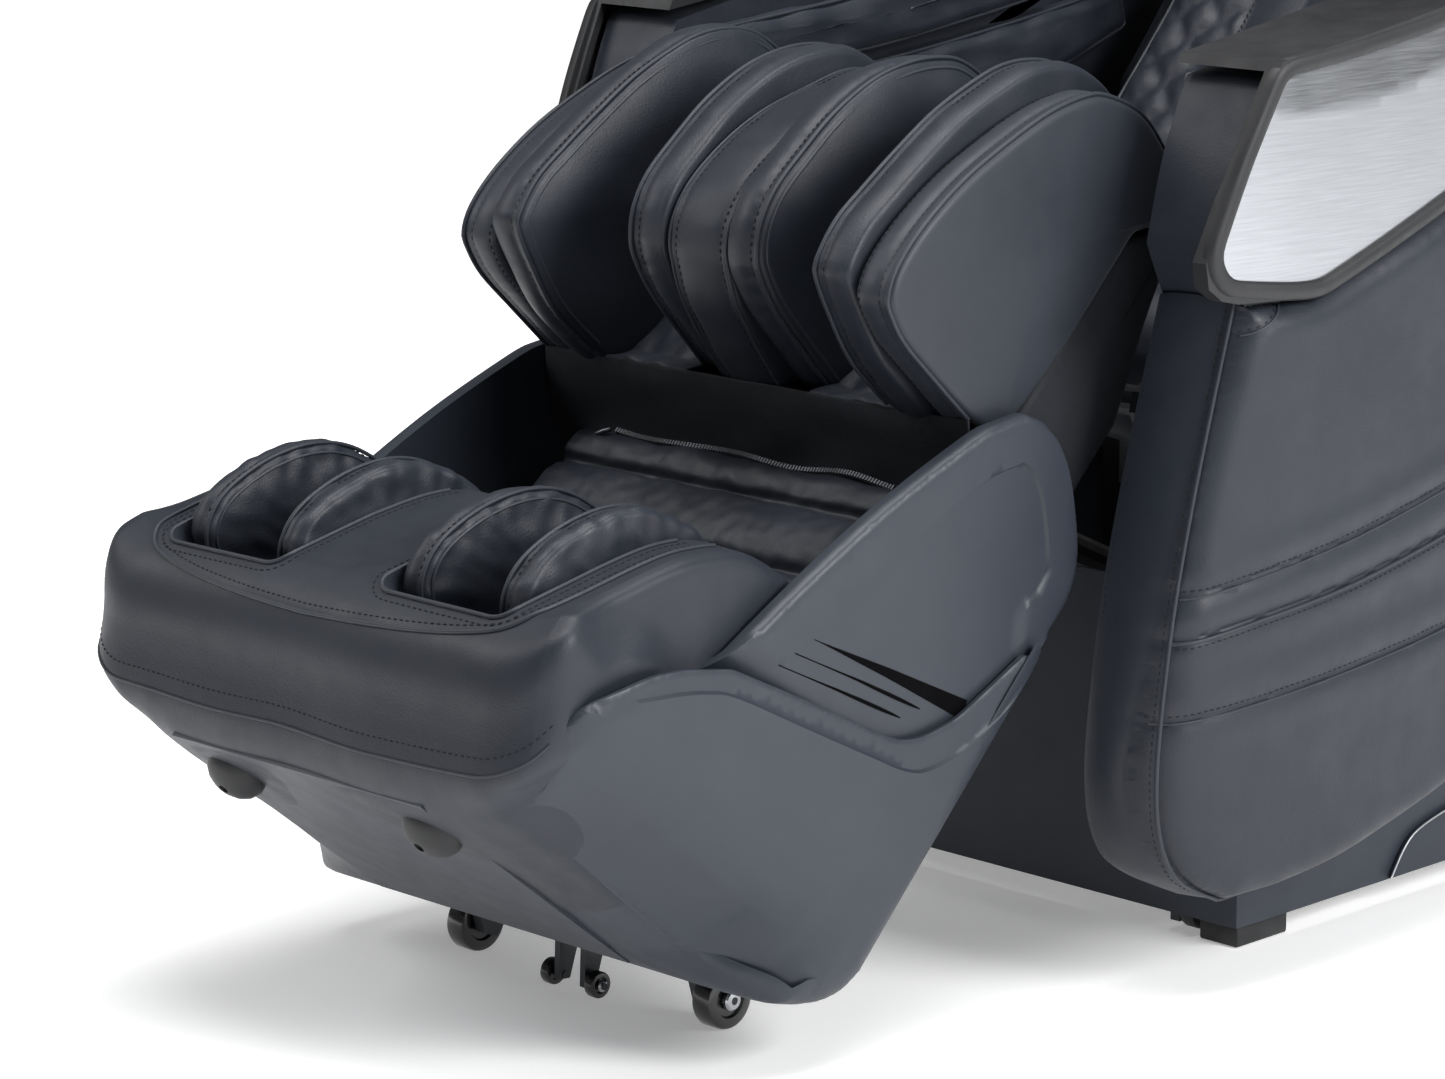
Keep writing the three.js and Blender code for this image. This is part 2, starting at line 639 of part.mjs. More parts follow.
// The top edge of the foot shell's side: a long wave from the toe to the heel.
function shellWave() {
  return [
    ...curve([[682, 431], [650, 414], [624, 420], [594, 421], [549, 393], [507, 357]], 9),
    ...curve([[477, 313], [452, 242], [434, 190], [409, 121], [371, 86], [330, 68], [279, 51]], 11),
  ];
}

function shellOutline() {
  return [
    ...shellWave(), [264, 23.5],
    ...curve([[566, 19], [593, 29], [618, 54], [644, 105], [652, 153]], 7),
    [665, 291], [678, 422],
  ];
}

function shellInside() {
  return [
    [200, 30.5], ...curve([[563, 27], [588, 37], [612, 61], [636, 110], [644, 155]], 7),
    [659, 290], [671, 420], [671, 620], [200, 620],
  ];
}

function buildFootShell() {
  const tub = cut(
    legPlate(shellOutline(), [-LEG.shellOuter, LEG.shellOuter]),
    legPlate(shellInside(), [-LEG.shellInner, LEG.shellInner]),
  );
  const slots = [1, -1].map((side) => legBlock(span(side, 120, 134.5), [552, 632], [-10, 78]));
  const rollerSlot = legBlock([-38, 38], [580, 642], [10, 84]);
  place('foot_shell', cut(tub, ...slots, rollerSlot), SHELL, leg);
}

// Where the caster's axle lies when the leg rest stands on the floor, as [down, out].
function casterCentre() {
  const dy = CASTER.y - KNEE.y;
  const dz = CASTER.radius - KNEE.z;
  return [-(dy + dz) * Math.SQRT1_2, (dz - dy) * Math.SQRT1_2];
}

function buildFootFrame() {
  const [down, out] = casterCentre();
  const casterArm = [
    [555, 45], [596, 62], [down + 10, out + 4], [down + 4, out - 9], [down - 8, out - 8], [566, 33],
  ];
  const rollerArm = [
    [570, 44], [570, 55], [586, 56], [600, 60],
    [ROLLER.down + 7, ROLLER.out + 2], [ROLLER.down - 1, ROLLER.out - 7],
  ];
  const pieces = [
    legBlock([-138, 138], [548, 572], [33, 47]),
    legBlock([-34, 34], [560, 584], [42, 56]),
  ];
  for (const side of [1, -1]) {
    pieces.push(
      legBlock(span(side, 121, 137), [110, 572], [33, 47]),
      legPlate(casterArm, span(side, 122, 133)),
      bar([-out, -down], CASTER.bore - GAP, span(side, 130, 159), 12),
      legPlate(rollerArm, span(side, 12, 18)),
      bar([-ROLLER.out, -ROLLER.down], ROLLER.bore - GAP, span(side, 11, 35), 10),
    );
  }
  place('foot_frame', join(...pieces), STEEL, leg);
  bothSides((side, name) => {
    const half = CASTER.width / 2;
    const reach = span(side, CASTER.x - half, CASTER.x + half);
    place(`caster_wheel_${name}`, wheel([-out, -down], CASTER.radius, CASTER.bore, reach), RUBBER, leg);
    const narrow = span(side, ROLLER.x - ROLLER.width / 2, ROLLER.x + ROLLER.width / 2);
    const small = wheel([-ROLLER.out, -ROLLER.down], ROLLER.radius, ROLLER.bore, narrow);
    place(`small_roller_${name}`, small, RUBBER, leg);
    const { x, out: along, down: start, height, radius } = BUMPER;
    const profile = [[0, 0], [radius, 0], [radius * 0.82, height * 0.6], [radius * 0.5, height], [0, height]];
    const bumper = turned(profile, [-along, -start], [-0.095, -1], side * x);
    place(`foot_bumper_${name}`, bumper, RUBBER, leg);
  });
}

function footBoxOutline() {
  return [
    ...curve([[624, 110], [638, 250], [648, 370], [628, 421], [602, 451], [576, 458], [541, 453]], 8),
    ...curve([[470, 408], [421, 371], [388, 330], [374, 267], [372, 160], [374, 64]], 8),
    [560, 60], [596, 76],
  ];
}

function buildFootSoft() {
  const narrow = legPad(footBoxOutline(), [-248, 248], 16, 0.03);
  const toe = [[512, 330], [642, 330], [645, 388], [622, 422], [598, 448], [572, 452], [528, 430]];
  const wide = legPad(toe, [-266, 266], 12, 0.05);
  const wells = [1, -1].map((side) =>
    legBlock(span(side, WELL.inner, WELL.outer), [300, WELL.down], [WELL.out, 600]));
  const centre = [-300, -548];
  const shaftHole = bar(centre, 9, [-80, 80], 12);
  place('foot_box', cut(join(narrow, wide), ...wells, shaftHole), LEATHER, leg);

  const lobe = [
    [572, 143], [574, 430],
    ...curve([[552, 447], [480, 440], [412, 394], [386, 340], [379, 260]], 7),
    [380, 143],
  ];
  bothSides((side, name) => {
    const inner = legPad(lobe, span(side, WELL.inner + 2, WELL.inner + 28), 7, 0.05);
    const outer = legPad(lobe, span(side, WELL.outer - 28, WELL.outer - 2), 7, 0.05);
    const heel = legBlock(span(side, WELL.inner + 10, WELL.outer - 10), [400, 560], [146, 160]);
    const passage = bar(centre, 9, span(side, 50, 90), 12);
    place(`foot_pads_${name}`, cut(join(inner, outer, heel), passage), LEATHER, leg);
  });

  const rollers = [bar(centre, 6, [-166, 166], 12)];
  for (const side of [1, -1]) {
    rollers.push(bar(centre, 15, span(side, 92, 162), 14));
  }
  place('sole_roller', join(...rollers), RUBBER, leg);

  const folds = [[197, 78], [370, 78], [370, 150], [284, 168], [197, 152]];
  place('calf_bellows', legPad(folds, [-205, 205], 8, 0.03), LEATHER, leg);
}

// ---------------------------------------------------------------- assembly

function legActuatorEnd() {
  const half = THREE.MathUtils.degToRad(25);
  const aim = [-0.91, 0.414];
  const { crank } = LEG_ACTUATOR;
  const middle = [KNEE.y - aim[1] * crank * Math.cos(half), KNEE.z + aim[0] * crank * Math.cos(half)];
  const back = crank * Math.sin(half);
  return { end: [middle[0] - aim[0] * back, middle[1] - aim[1] * back], aim };
}

buildBaseFrame();
buildBaseCover();
buildElectrics();
buildSeat();
bothSides(buildArm);
buildRemote();
buildBackShell();
buildBackTrack();
buildBackSoft();
buildCarriage();
buildCalfCovers();
buildLegFrame();
buildCalfSoft();
buildFootShell();
buildFootFrame();
buildFootSoft();
const legRam = legActuatorEnd();
buildRam('leg', LEG_ACTUATOR, legRam.end, legRam.aim);

export default chair;
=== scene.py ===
import json
import math

import bmesh
import bpy
import numpy as np
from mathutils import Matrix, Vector, noise
from mathutils.geometry import delaunay_2d_cdt

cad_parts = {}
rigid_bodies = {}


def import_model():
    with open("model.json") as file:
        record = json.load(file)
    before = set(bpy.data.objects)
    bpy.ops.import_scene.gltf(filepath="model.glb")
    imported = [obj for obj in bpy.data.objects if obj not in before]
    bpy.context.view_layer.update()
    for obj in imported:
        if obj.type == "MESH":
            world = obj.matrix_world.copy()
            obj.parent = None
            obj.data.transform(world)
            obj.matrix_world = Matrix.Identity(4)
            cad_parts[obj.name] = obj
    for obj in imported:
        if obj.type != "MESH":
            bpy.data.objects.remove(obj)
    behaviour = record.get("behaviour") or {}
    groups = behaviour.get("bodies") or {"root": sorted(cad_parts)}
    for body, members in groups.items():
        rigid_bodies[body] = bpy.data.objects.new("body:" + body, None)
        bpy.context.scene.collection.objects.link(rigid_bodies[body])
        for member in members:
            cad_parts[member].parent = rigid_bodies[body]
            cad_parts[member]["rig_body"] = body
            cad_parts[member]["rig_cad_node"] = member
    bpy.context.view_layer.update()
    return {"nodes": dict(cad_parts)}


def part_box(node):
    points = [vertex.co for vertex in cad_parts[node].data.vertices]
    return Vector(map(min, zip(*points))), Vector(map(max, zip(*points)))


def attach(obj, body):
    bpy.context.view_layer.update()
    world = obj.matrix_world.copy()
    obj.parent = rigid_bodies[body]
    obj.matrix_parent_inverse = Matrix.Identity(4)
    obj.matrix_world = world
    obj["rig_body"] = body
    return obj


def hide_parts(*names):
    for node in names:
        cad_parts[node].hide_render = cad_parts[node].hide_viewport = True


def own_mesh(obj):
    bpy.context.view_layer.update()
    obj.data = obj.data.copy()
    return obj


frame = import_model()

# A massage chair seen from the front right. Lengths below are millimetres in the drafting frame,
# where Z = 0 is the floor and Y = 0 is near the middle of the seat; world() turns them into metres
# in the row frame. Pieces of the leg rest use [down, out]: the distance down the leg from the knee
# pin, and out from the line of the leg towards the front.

MM = 0.001
SHIFT = 290.35  # drafting frame to row frame along Y
S45 = math.sqrt(0.5)
KNEE_Y, KNEE_Z = -360.0, 450.0

# ---------------------------------------------------------------- plane curves


def leg(points):
    """Turns [down, out] points into [y, z] points of the drafting frame."""
    return [(KNEE_Y - S45 * (d + o), KNEE_Z + S45 * (o - d)) for d, o in points]


def world(x, y, z):
    return Vector((x * MM, (y + SHIFT) * MM, z * MM))


def curve(points, steps):
    """A smooth open run of points through control points."""
    points = np.array(points, float)
    last = len(points) - 1
    made = []
    for k in range(steps + 1):
        t = last * k / steps
        i = min(int(t), last)
        w = t - i
        a, b = points[max(i - 1, 0)], points[i]
        c, d = points[min(i + 1, last)], points[min(i + 2, last)]
        v0, v1 = (c - a) / 2, (d - b) / 2
        made.append((2 * b - 2 * c + v0 + v1) * w**3 + (3 * c - 3 * b - 2 * v0 - v1) * w**2 + v0 * w + b)
    return [tuple(p) for p in made]


def even(points, count, closed=False):
    """The same path with evenly spaced points; a closed path doesn't repeat its first point."""
    points = np.array(points, float)
    if closed:
        points = np.vstack([points, points[:1]])
    step = np.linalg.norm(np.diff(points, axis=0), axis=1)
    along = np.concatenate([[0], np.cumsum(step)])
    marks = np.linspace(0, along[-1], count + 1 if closed else count)
    if closed:
        marks = marks[:-1]
    return np.stack([np.interp(marks, along, points[:, k]) for k in range(points.shape[1])], 1)


def smooth(loop, rounds, closed=True):
    loop = np.array(loop, float)
    for _ in range(rounds):
        blend = (np.roll(loop, 1, 0) + np.roll(loop, -1, 0)) / 2
        if not closed:
            blend[0], blend[-1] = loop[0], loop[-1]
        loop = (loop + blend) / 2
    return loop


def left_turning(loop):
    """The loop, reversed if need be so that its inside lies on its left."""
    loop = np.array(loop, float)
    x, y = loop[:, 0], loop[:, 1]
    area = np.dot(x, np.roll(y, -1)) - np.dot(y, np.roll(x, -1))
    return loop if area > 0 else loop[::-1].copy()


def inset(loop, distance):
    """A closed loop moved inwards by a distance, in small smoothed steps."""
    steps = max(1, int(abs(distance) / 3))
    for _ in range(steps):
        along = np.roll(loop, -1, 0) - np.roll(loop, 1, 0)
        along /= np.linalg.norm(along, axis=1)[:, None] + 1e-9
        loop = loop + np.stack([-along[:, 1], along[:, 0]], 1) * distance / steps
        if abs(distance) > 4:
            loop = smooth(loop, 1)
    return loop


def distance_to(path, points, closed=True):
    """The distance from each point to a path."""
    path = np.array(path, float)
    points = np.array(points, float)
    ends = np.roll(path, -1, 0) if closed else path[1:]
    starts = path if closed else path[:-1]
    best = np.full(len(points), 1e9)
    for a, b in zip(starts, ends):
        edge = b - a
        t = np.clip((points - a) @ edge / (edge @ edge + 1e-12), 0, 1)
        best = np.minimum(best, np.linalg.norm(points - a - t[:, None] * edge, axis=1))
    return best


def inside(loop, points):
    loop = np.array(loop, float)
    points = np.array(points, float)
    hit = np.zeros(len(points), bool)
    for a, b in zip(loop, np.roll(loop, -1, 0)):
        crosses = (a[1] > points[:, 1]) != (b[1] > points[:, 1])
        rise = b[1] - a[1] if abs(b[1] - a[1]) > 1e-12 else 1e-12
        hit ^= crosses & (points[:, 0] < (b[0] - a[0]) * (points[:, 1] - a[1]) / rise + a[0])
    return hit


# ---------------------------------------------------------------- materials

materials = {}


def node(tree, kind, **values):
    """A shader node with some of its inputs and settings set."""
    made = tree.nodes.new(kind)
    for name, value in values.items():
        if name in made.inputs:
            made.inputs[name].default_value = value
        else:
            setattr(made, name, value)
    return made


def ramp(tree, source, low, high, start=0.3, end=0.7):
    """A colour that goes from low to high as the source goes from start to end."""
    made = tree.nodes.new("ShaderNodeValToRGB")
    made.color_ramp.elements[0].position = start
    made.color_ramp.elements[1].position = end
    made.color_ramp.elements[0].color = low
    made.color_ramp.elements[1].color = high
    tree.links.new(source, made.inputs[0])
    return made.outputs[0]


def grey(value):
    """A neutral colour."""
    return (value, value, value, 1)


def material(name, dark, light, roughness, bumps, metallic=0.0, stretch=(1, 1, 1), specular=0.5,
             patch=9, rough_patch=40, coat=0.0, sheen=0.0):
    """A surface whose colour drifts between two values, with several layers of bump.

    bumps is a list of (texture, scale, height in mm, strength)."""
    made = bpy.data.materials.new(name)
    made.use_nodes = True
    tree = made.node_tree
    shader = tree.nodes["Principled BSDF"]
    place = tree.nodes.new("ShaderNodeTexCoord")
    mapping = node(tree, "ShaderNodeMapping")
    mapping.inputs["Scale"].default_value = stretch
    tree.links.new(place.outputs["Object"], mapping.inputs["Vector"])
    where = mapping.outputs["Vector"]

    drift = node(tree, "ShaderNodeTexNoise", Scale=patch, Detail=4.0)
    tree.links.new(where, drift.inputs["Vector"])
    tree.links.new(ramp(tree, drift.outputs[0], (*dark, 1), (*light, 1)), shader.inputs["Base Color"])
    worn = node(tree, "ShaderNodeTexNoise", Scale=rough_patch, Detail=3.0)
    tree.links.new(where, worn.inputs["Vector"])
    low, high = roughness
    tree.links.new(ramp(tree, worn.outputs[0], grey(low), grey(high)), shader.inputs["Roughness"])
    shader.inputs["Metallic"].default_value = metallic
    shader.inputs["Specular IOR Level"].default_value = specular
    shader.inputs["Coat Weight"].default_value = coat
    shader.inputs["Coat Roughness"].default_value = 0.25
    shader.inputs["Sheen Weight"].default_value = sheen
    shader.inputs["Sheen Roughness"].default_value = 0.45

    normal = None
    for texture, scale, height, strength in bumps:
        if texture == "cells":
            pattern = node(tree, "ShaderNodeTexVoronoi", Scale=scale)
            value = pattern.outputs["Distance"]
        else:
            pattern = node(tree, "ShaderNodeTexNoise", Scale=scale, Detail=3.0)
            value = pattern.outputs[0]
        tree.links.new(where, pattern.inputs["Vector"])
        bump = node(tree, "ShaderNodeBump", Strength=strength, Distance=height * MM)
        tree.links.new(value, bump.inputs["Height"])
        if normal:
            tree.links.new(normal, bump.inputs["Normal"])
        normal = bump.outputs["Normal"]
    if normal:
        tree.links.new(normal, shader.inputs["Normal"])
    materials[name] = made


def make_materials():
    grain = [("noise", 26, 3.0, 0.10), ("cells", 620, 0.35, 0.32), ("noise", 1500, 0.25, 0.2)]
    material("leather", (0.0118, 0.0148, 0.0222), (0.0148, 0.0184, 0.0272), (0.44, 0.54), grain,
             specular=0.38, sheen=0.02)
    material("smooth_leather", (0.016, 0.0195, 0.0275), (0.0195, 0.0235, 0.0325), (0.46, 0.54),
             [("noise", 18, 3.0, 0.05), ("cells", 750, 0.2, 0.2)], specular=0.4, sheen=0.03)
    material("lining", (0.0105, 0.012, 0.016), (0.0145, 0.0165, 0.0215), (0.62, 0.75),
             [("cells", 1300, 0.5, 0.5), ("noise", 60, 1.0, 0.1)], specular=0.3)
    material("thread", (0.006, 0.006, 0.007), (0.012, 0.012, 0.014), (0.6, 0.8),
             [("noise", 2200, 0.3, 0.5)], specular=0.3)
    material("shell", (0.0215, 0.0262, 0.0365), (0.0245, 0.0298, 0.0410), (0.42, 0.48),
             [("noise", 2400, 0.12, 0.16), ("noise", 8, 1.0, 0.02)], specular=0.4)
    material("base_shell", (0.024, 0.029, 0.040), (0.028, 0.0338, 0.046), (0.5, 0.58),
             [("noise", 2400, 0.12, 0.18)], specular=0.35)
    # The near-black gap colour is painted shade. It stands for the shadow inside the calf cover's grooves,
    # which are not cut into the face.
    material("gap", (0.0012, 0.0013, 0.0016), (0.002, 0.0021, 0.0025), (0.85, 0.95),
             [("noise", 900, 0.1, 0.1)], specular=0.05)
    material("black_plastic", (0.010, 0.0105, 0.012), (0.015, 0.016, 0.018), (0.28, 0.36),
             [("noise", 900, 0.1, 0.1)], specular=0.5)
    material("brushed", (0.40, 0.415, 0.44), (0.48, 0.495, 0.52), (0.28, 0.36),
             [("noise", 90, 0.05, 0.12)], metallic=1.0, stretch=(2, 1, 42), rough_patch=30, patch=20)
    material("silver_paint", (0.42, 0.43, 0.45), (0.48, 0.49, 0.51), (0.32, 0.4),
             [("noise", 1800, 0.08, 0.15)], metallic=0.6)
    material("rubber", (0.010, 0.0105, 0.012), (0.017, 0.0175, 0.019), (0.45, 0.6),
             [("noise", 800, 0.3, 0.25)], specular=0.4)
    material("tread", (0.008, 0.0085, 0.0095), (0.013, 0.0135, 0.015), (0.14, 0.24),
             [("noise", 300, 0.2, 0.08)], specular=0.6, coat=0.3)
    material("steel", (0.035, 0.037, 0.041), (0.055, 0.058, 0.063), (0.38, 0.5),
             [("noise", 1200, 0.15, 0.2)], metallic=0.5)
    material("bright_steel", (0.42, 0.43, 0.45), (0.56, 0.57, 0.59), (0.2, 0.3),
             [("noise", 700, 0.08, 0.15)], metallic=1.0)
    material("screen", (0.004, 0.0045, 0.006), (0.006, 0.0065, 0.009), (0.06, 0.1),
             [("noise", 4, 0.5, 0.02)], coat=0.6)
    material("zip_metal", (0.10, 0.105, 0.115), (0.16, 0.165, 0.18), (0.3, 0.4),
             [("noise", 1500, 0.1, 0.2)], metallic=0.8)


# ---------------------------------------------------------------- pieces


def make_piece(name, vertices, faces, look, body, slot, smoothing=35, stands_for=(), soft=None):
    """A finished mesh object that rides on a body."""
    mesh = bpy.data.meshes.new(name)
    mesh.from_pydata([tuple(v) for v in vertices], [], [tuple(f) for f in faces])
    work = bmesh.new()
    work.from_mesh(mesh)
    bmesh.ops.remove_doubles(work, verts=work.verts, dist=1e-6)
    bmesh.ops.recalc_face_normals(work, faces=work.faces)
    work.to_mesh(mesh)
    work.free()
    mesh.materials.append(materials[look])
    made = bpy.data.objects.new(name, mesh)
    bpy.context.collection.objects.link(made)
    shade(made, smoothing)
    if body:
        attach(made, body)
    if stands_for:
        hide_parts(*stands_for)
    return made


def shade(made, angle):
    """Smooth shading, sharp where the mesh turns by more than an angle."""
    made.data.polygons.foreach_set("use_smooth", [True] * len(made.data.polygons))
    made.data.set_sharp_from_angle(angle=math.radians(angle))
    made.data.update()


def apply_modifiers(made):
    """Replaces the mesh by its modified form."""
    graph = bpy.context.evaluated_depsgraph_get()
    graph.update()
    mesh = bpy.data.meshes.new_from_object(made.evaluated_get(graph), depsgraph=graph)
    made.modifiers.clear()
    made.data = mesh
    return made


def subtract(made, *tools):
    """Cuts tool objects out of a piece and deletes them."""
    for tool in tools:
        cutter = made.modifiers.new("cut", "BOOLEAN")
        cutter.operation = "DIFFERENCE"
        cutter.solver = "EXACT"
        cutter.use_self = True
        cutter.object = tool
    apply_modifiers(made)
    for tool in tools:
        bpy.data.objects.remove(tool)


def bevel(made, width, segments=2, angle=32):
    """Rounds the sharp edges of a piece or of a CAD node."""
    rounding = made.modifiers.new("round", "BEVEL")
    rounding.width = width * MM
    rounding.segments = segments
    rounding.limit_method = "ANGLE"
    rounding.angle_limit = math.radians(angle)
    rounding.harden_normals = False


def ring_faces(rings, count, closed=True, zipped=False):
    """Quads between rings of count points, with a cap on each end; a zipped cap is a strip of quads."""
    faces = []
    for r in range(rings - 1):
        for k in range(count):
            a, b = r * count + k, r * count + (k + 1) % count
            faces.append((a, b, b + count, a + count))
    if not closed:
        return faces
    last = (rings - 1) * count
    if zipped:
        for k in range(count // 2 - 1):
            strip = (k, k + 1, count - 2 - k, count - 1 - k)
            faces.append(strip[::-1])
            faces.append(tuple(last + i for i in strip))
    else:
        faces.append(tuple(range(count))[::-1])
        faces.append(tuple(last + k for k in range(count)))
    return faces


def loft(name, rings, look, body, slot, zipped=False, **more):
    """rings is a list of (x, [y, z] loop) in millimetres."""
    vertices = [world(x, y, z) for x, loop in rings for y, z in loop]
    faces = ring_faces(len(rings), len(rings[0][1]), zipped=zipped)
    return make_piece(name, vertices, faces, look, body, slot, **more)


def plate(name, outline, x0, x1, look, body, slot, edge=0.0, **more):
    made = loft(name, [(x0, outline), (x1, outline)], look, body, slot, **more)
    if edge:
        bevel(made, edge)
        apply_modifiers(made)
        shade(made, more.get("smoothing", 35))
    return made


def frame_along(points, closed):
    """Tangents and two cross directions along a 3-D path, turning as little as possible."""
    points = np.array(points, float)
    if closed:
        along = np.roll(points, -1, 0) - np.roll(points, 1, 0)
    else:
        along = np.gradient(points, axis=0)
    along /= np.linalg.norm(along, axis=1)[:, None] + 1e-12
    first = np.cross(along[0], [0.0, 0.0, 1.0])
    if np.linalg.norm(first) < 1e-3:
        first = np.cross(along[0], [1.0, 0.0, 0.0])
    sides = [first / np.linalg.norm(first)]
    for t in along[1:]:
        turned = sides[-1] - t * (sides[-1] @ t)
        sides.append(turned / (np.linalg.norm(turned) + 1e-12))
    sides = np.array(sides)
    return along, sides, np.cross(along, sides)


def tube(name, path, radius, look, body, slot, closed=False, sides=8, **more):
    """A round welt or wire along a path of points in metres."""
    path = np.array([tuple(p) for p in path], float)
    _, u, v = frame_along(path, closed)
    turn = [2 * math.pi * k / sides for k in range(sides)]
    vertices = []
    for p, a, b in zip(path, u, v):
        vertices += [tuple(p + (a * math.cos(t) + b * math.sin(t)) * radius * MM) for t in turn]
    faces = ring_faces(len(path), sides, closed=not closed)
    if closed:
        last = (len(path) - 1) * sides
        turn_back = min(range(sides), key=lambda k: np.linalg.norm(
            np.array(vertices[last]) - np.array(vertices[k]) - (path[-1] - path[0])))
        for k in range(sides):
            a, b = last + k, last + (k + 1) % sides
            c, d = (turn_back + k + 1) % sides, (turn_back + k) % sides
            faces.append((a, b, c, d))
    return make_piece(name, vertices, faces, look, body, slot, smoothing=70, **more)


def resample(path, pitch, closed=False):
    path = np.array([tuple(p) for p in path], float)
    ends = np.vstack([path, path[:1]]) if closed else path
    length = np.linalg.norm(np.diff(ends, axis=0), axis=1).sum()
    return even(path, max(3, int(length / (pitch * MM))), closed)


def stitches(name, path, body, closed=False, pitch=6.2, length=3.6, radius=0.55):
    """A row of short threads along a path in metres."""
    spots = resample(path, pitch, closed)
    along, u, v = frame_along(spots, closed)
    vertices, faces = [], []
    sides = 5
    for p, t, a, b in zip(spots, along, u, v):
        start = len(vertices)
        for reach, swell in ((-0.5, 0.35), (-0.3, 1.0), (0.3, 1.0), (0.5, 0.35)):
            for k in range(sides):
                turn = 2 * math.pi * k / sides
                ray = (a * math.cos(turn) + b * math.sin(turn)) * radius * swell * MM
                vertices.append(tuple(p + t * reach * length * MM + ray))
        faces += [tuple(start + k for k in f) for f in ring_faces(4, sides)]
    return make_piece(name, vertices, faces, "thread", body, "leather", smoothing=80)


def refine(made, levels=1):
    smoother = made.modifiers.new("smooth", "SUBSURF")
    smoother.levels = smoother.render_levels = levels
    return apply_modifiers(made)


def inflate(made, voxel=5.0, cap=10.0, pressure=4.0, smoothing=60):
    """Swells a pad as filled cloth; a point moves at most cap millimetres."""
    look = made.data.materials[0]
    remesh = made.modifiers.new("remesh", "REMESH")
    remesh.mode = "VOXEL"
    remesh.voxel_size = voxel * MM
    apply_modifiers(made)
    rest = np.array([tuple(v.co) for v in made.data.vertices])
    cloth = made.modifiers.new("cloth", "CLOTH")
    cloth.settings.use_pressure = True
    cloth.settings.uniform_pressure_force = pressure
    cloth.settings.effector_weights.gravity = 0
    cloth.settings.quality = 4
    cloth.point_cache.frame_start = 1
    cloth.point_cache.frame_end = 20
    scene = bpy.context.scene
    for step in range(1, 21):
        scene.frame_set(step)
    graph = bpy.context.evaluated_depsgraph_get()
    swollen = np.array([tuple(v.co) for v in made.evaluated_get(graph).data.vertices])
    made.modifiers.clear()
    scene.frame_set(1)
    move = swollen - rest
    far = np.linalg.norm(move, axis=1)
    move *= (cap * MM / np.maximum(far, cap * MM))[:, None]
    made.data.vertices.foreach_set("co", (rest + move).ravel())
    made.data.materials.clear()
    made.data.materials.append(look)
    made.data.update()
    refine(made)
    shade(made, smoothing)


# ---------------------------------------------------------------- stuffed shapes


def outward(path, distance, closed):
    """A path moved outwards; the inside of the outline it belongs to is on its left."""
    path = np.array(path, float)
    if closed:
        along = np.roll(path, -1, 0) - np.roll(path, 1, 0)
    else:
        along = np.gradient(path, axis=0)
    along /= np.linalg.norm(along, axis=1)[:, None] + 1e-9
    return path + np.stack([along[:, 1], -along[:, 0]], 1) * distance


def face_rings(loop, x, out, radius, crown, roundness=2.4):
    """Rings from the middle of a crowned face to the start of the wall; out is -1 or 1 along X."""
    flat = inset(loop, radius)
    middle = flat.mean(0)
    rings = []
    for share in (0.05, 0.25, 0.45, 0.62, 0.76, 0.87, 0.95, 1.0):
        rings.append((x + out * crown * (1 - share**roundness), middle + (flat - middle) * share))
    for turn in (30, 60, 90):
        turn = math.radians(turn)
        rings.append((x - out * radius * (1 - math.cos(turn)), inset(loop, radius * (1 - math.sin(turn)))))
    return rings


def side_pad(name, loop, x0, x1, wall, look, body, slot, radius=5, crown=(3, 3), count=140, fine=1,
             **more):
    """A stuffed panel across X. wall lists (x, how far the leather stands out there)."""
    loop = even(left_turning(loop), count, closed=True)
    rings = face_rings(loop, x0, -1, radius, crown[0])
    rings += [(x, outward(loop, out, True)) for x, out in wall]
    rings += face_rings(loop, x1, 1, radius, crown[1])[::-1]
    made = loft(name, rings, look, body, slot, zipped=True, smoothing=60, **more)
    return refine(made, fine) if fine else made


def mirrored(wall, side):
    """A wall profile drawn for the right side, as it runs on a side."""
    return wall if side > 0 else [(-x, out) for x, out in reversed(wall)]


def reach(side, x0, x1):
    """A span of X drawn for the right side, as it runs on a side."""
    return (x0, x1) if side > 0 else (-x1, -x0)


def pair(side, values):
    """Two values listed from the inside out, as they run along X on a side."""
    return values if side > 0 else values[::-1]


def edge_path(path, x, out=0.0, closed=False):
    """A line along a side outline at one X, in metres."""
    return [world(x, y, z) for y, z in outward(path, out, closed)]


def press(made, height):
    """Moves each point along its normal by height(x, y, z) millimetres, in the drafting frame."""
    mesh = made.data
    normals = [v.normal.copy() for v in mesh.vertices]
    for v, n in zip(mesh.vertices, normals):
        x, y, z = v.co.x / MM, v.co.y / MM - SHIFT, v.co.z / MM
        v.co += n * height(x, y, z) * MM
    mesh.update()


def wrinkle(made, height, scale, seed=0.0, share=None):
    """Soft creases: smooth noise with its own scale (per metre) along each axis."""
    sx, sy, sz = scale
    mesh = made.data
    normals = [v.normal.copy() for v in mesh.vertices]
    for v, n in zip(mesh.vertices, normals):
        amount = 1.0 if share is None else share(v.co)
        if amount > 0.01:
            spot = Vector((v.co.x * sx + seed, v.co.y * sy - seed, v.co.z * sz + seed))
            v.co += n * noise.noise(spot) * height * MM * amount
    mesh.update()


def smoothstep(a, b, x):
    """Rises softly from 0 at a to 1 at b."""
    t = min(1.0, max(0.0, (x - a) / (b - a)))
    return t * t * (3 - 2 * t)


# ---------------------------------------------------------------- relief plates


def grid_spots(low, high, pitch):
    """Staggered rows of points that fill a rectangle."""
    ys = np.arange(low[0], high[0], pitch)
    zs = np.arange(low[1], high[1], pitch * 0.87)
    return np.array([(y + (k % 2) * pitch / 2, z) for k, z in enumerate(zs) for y in ys])


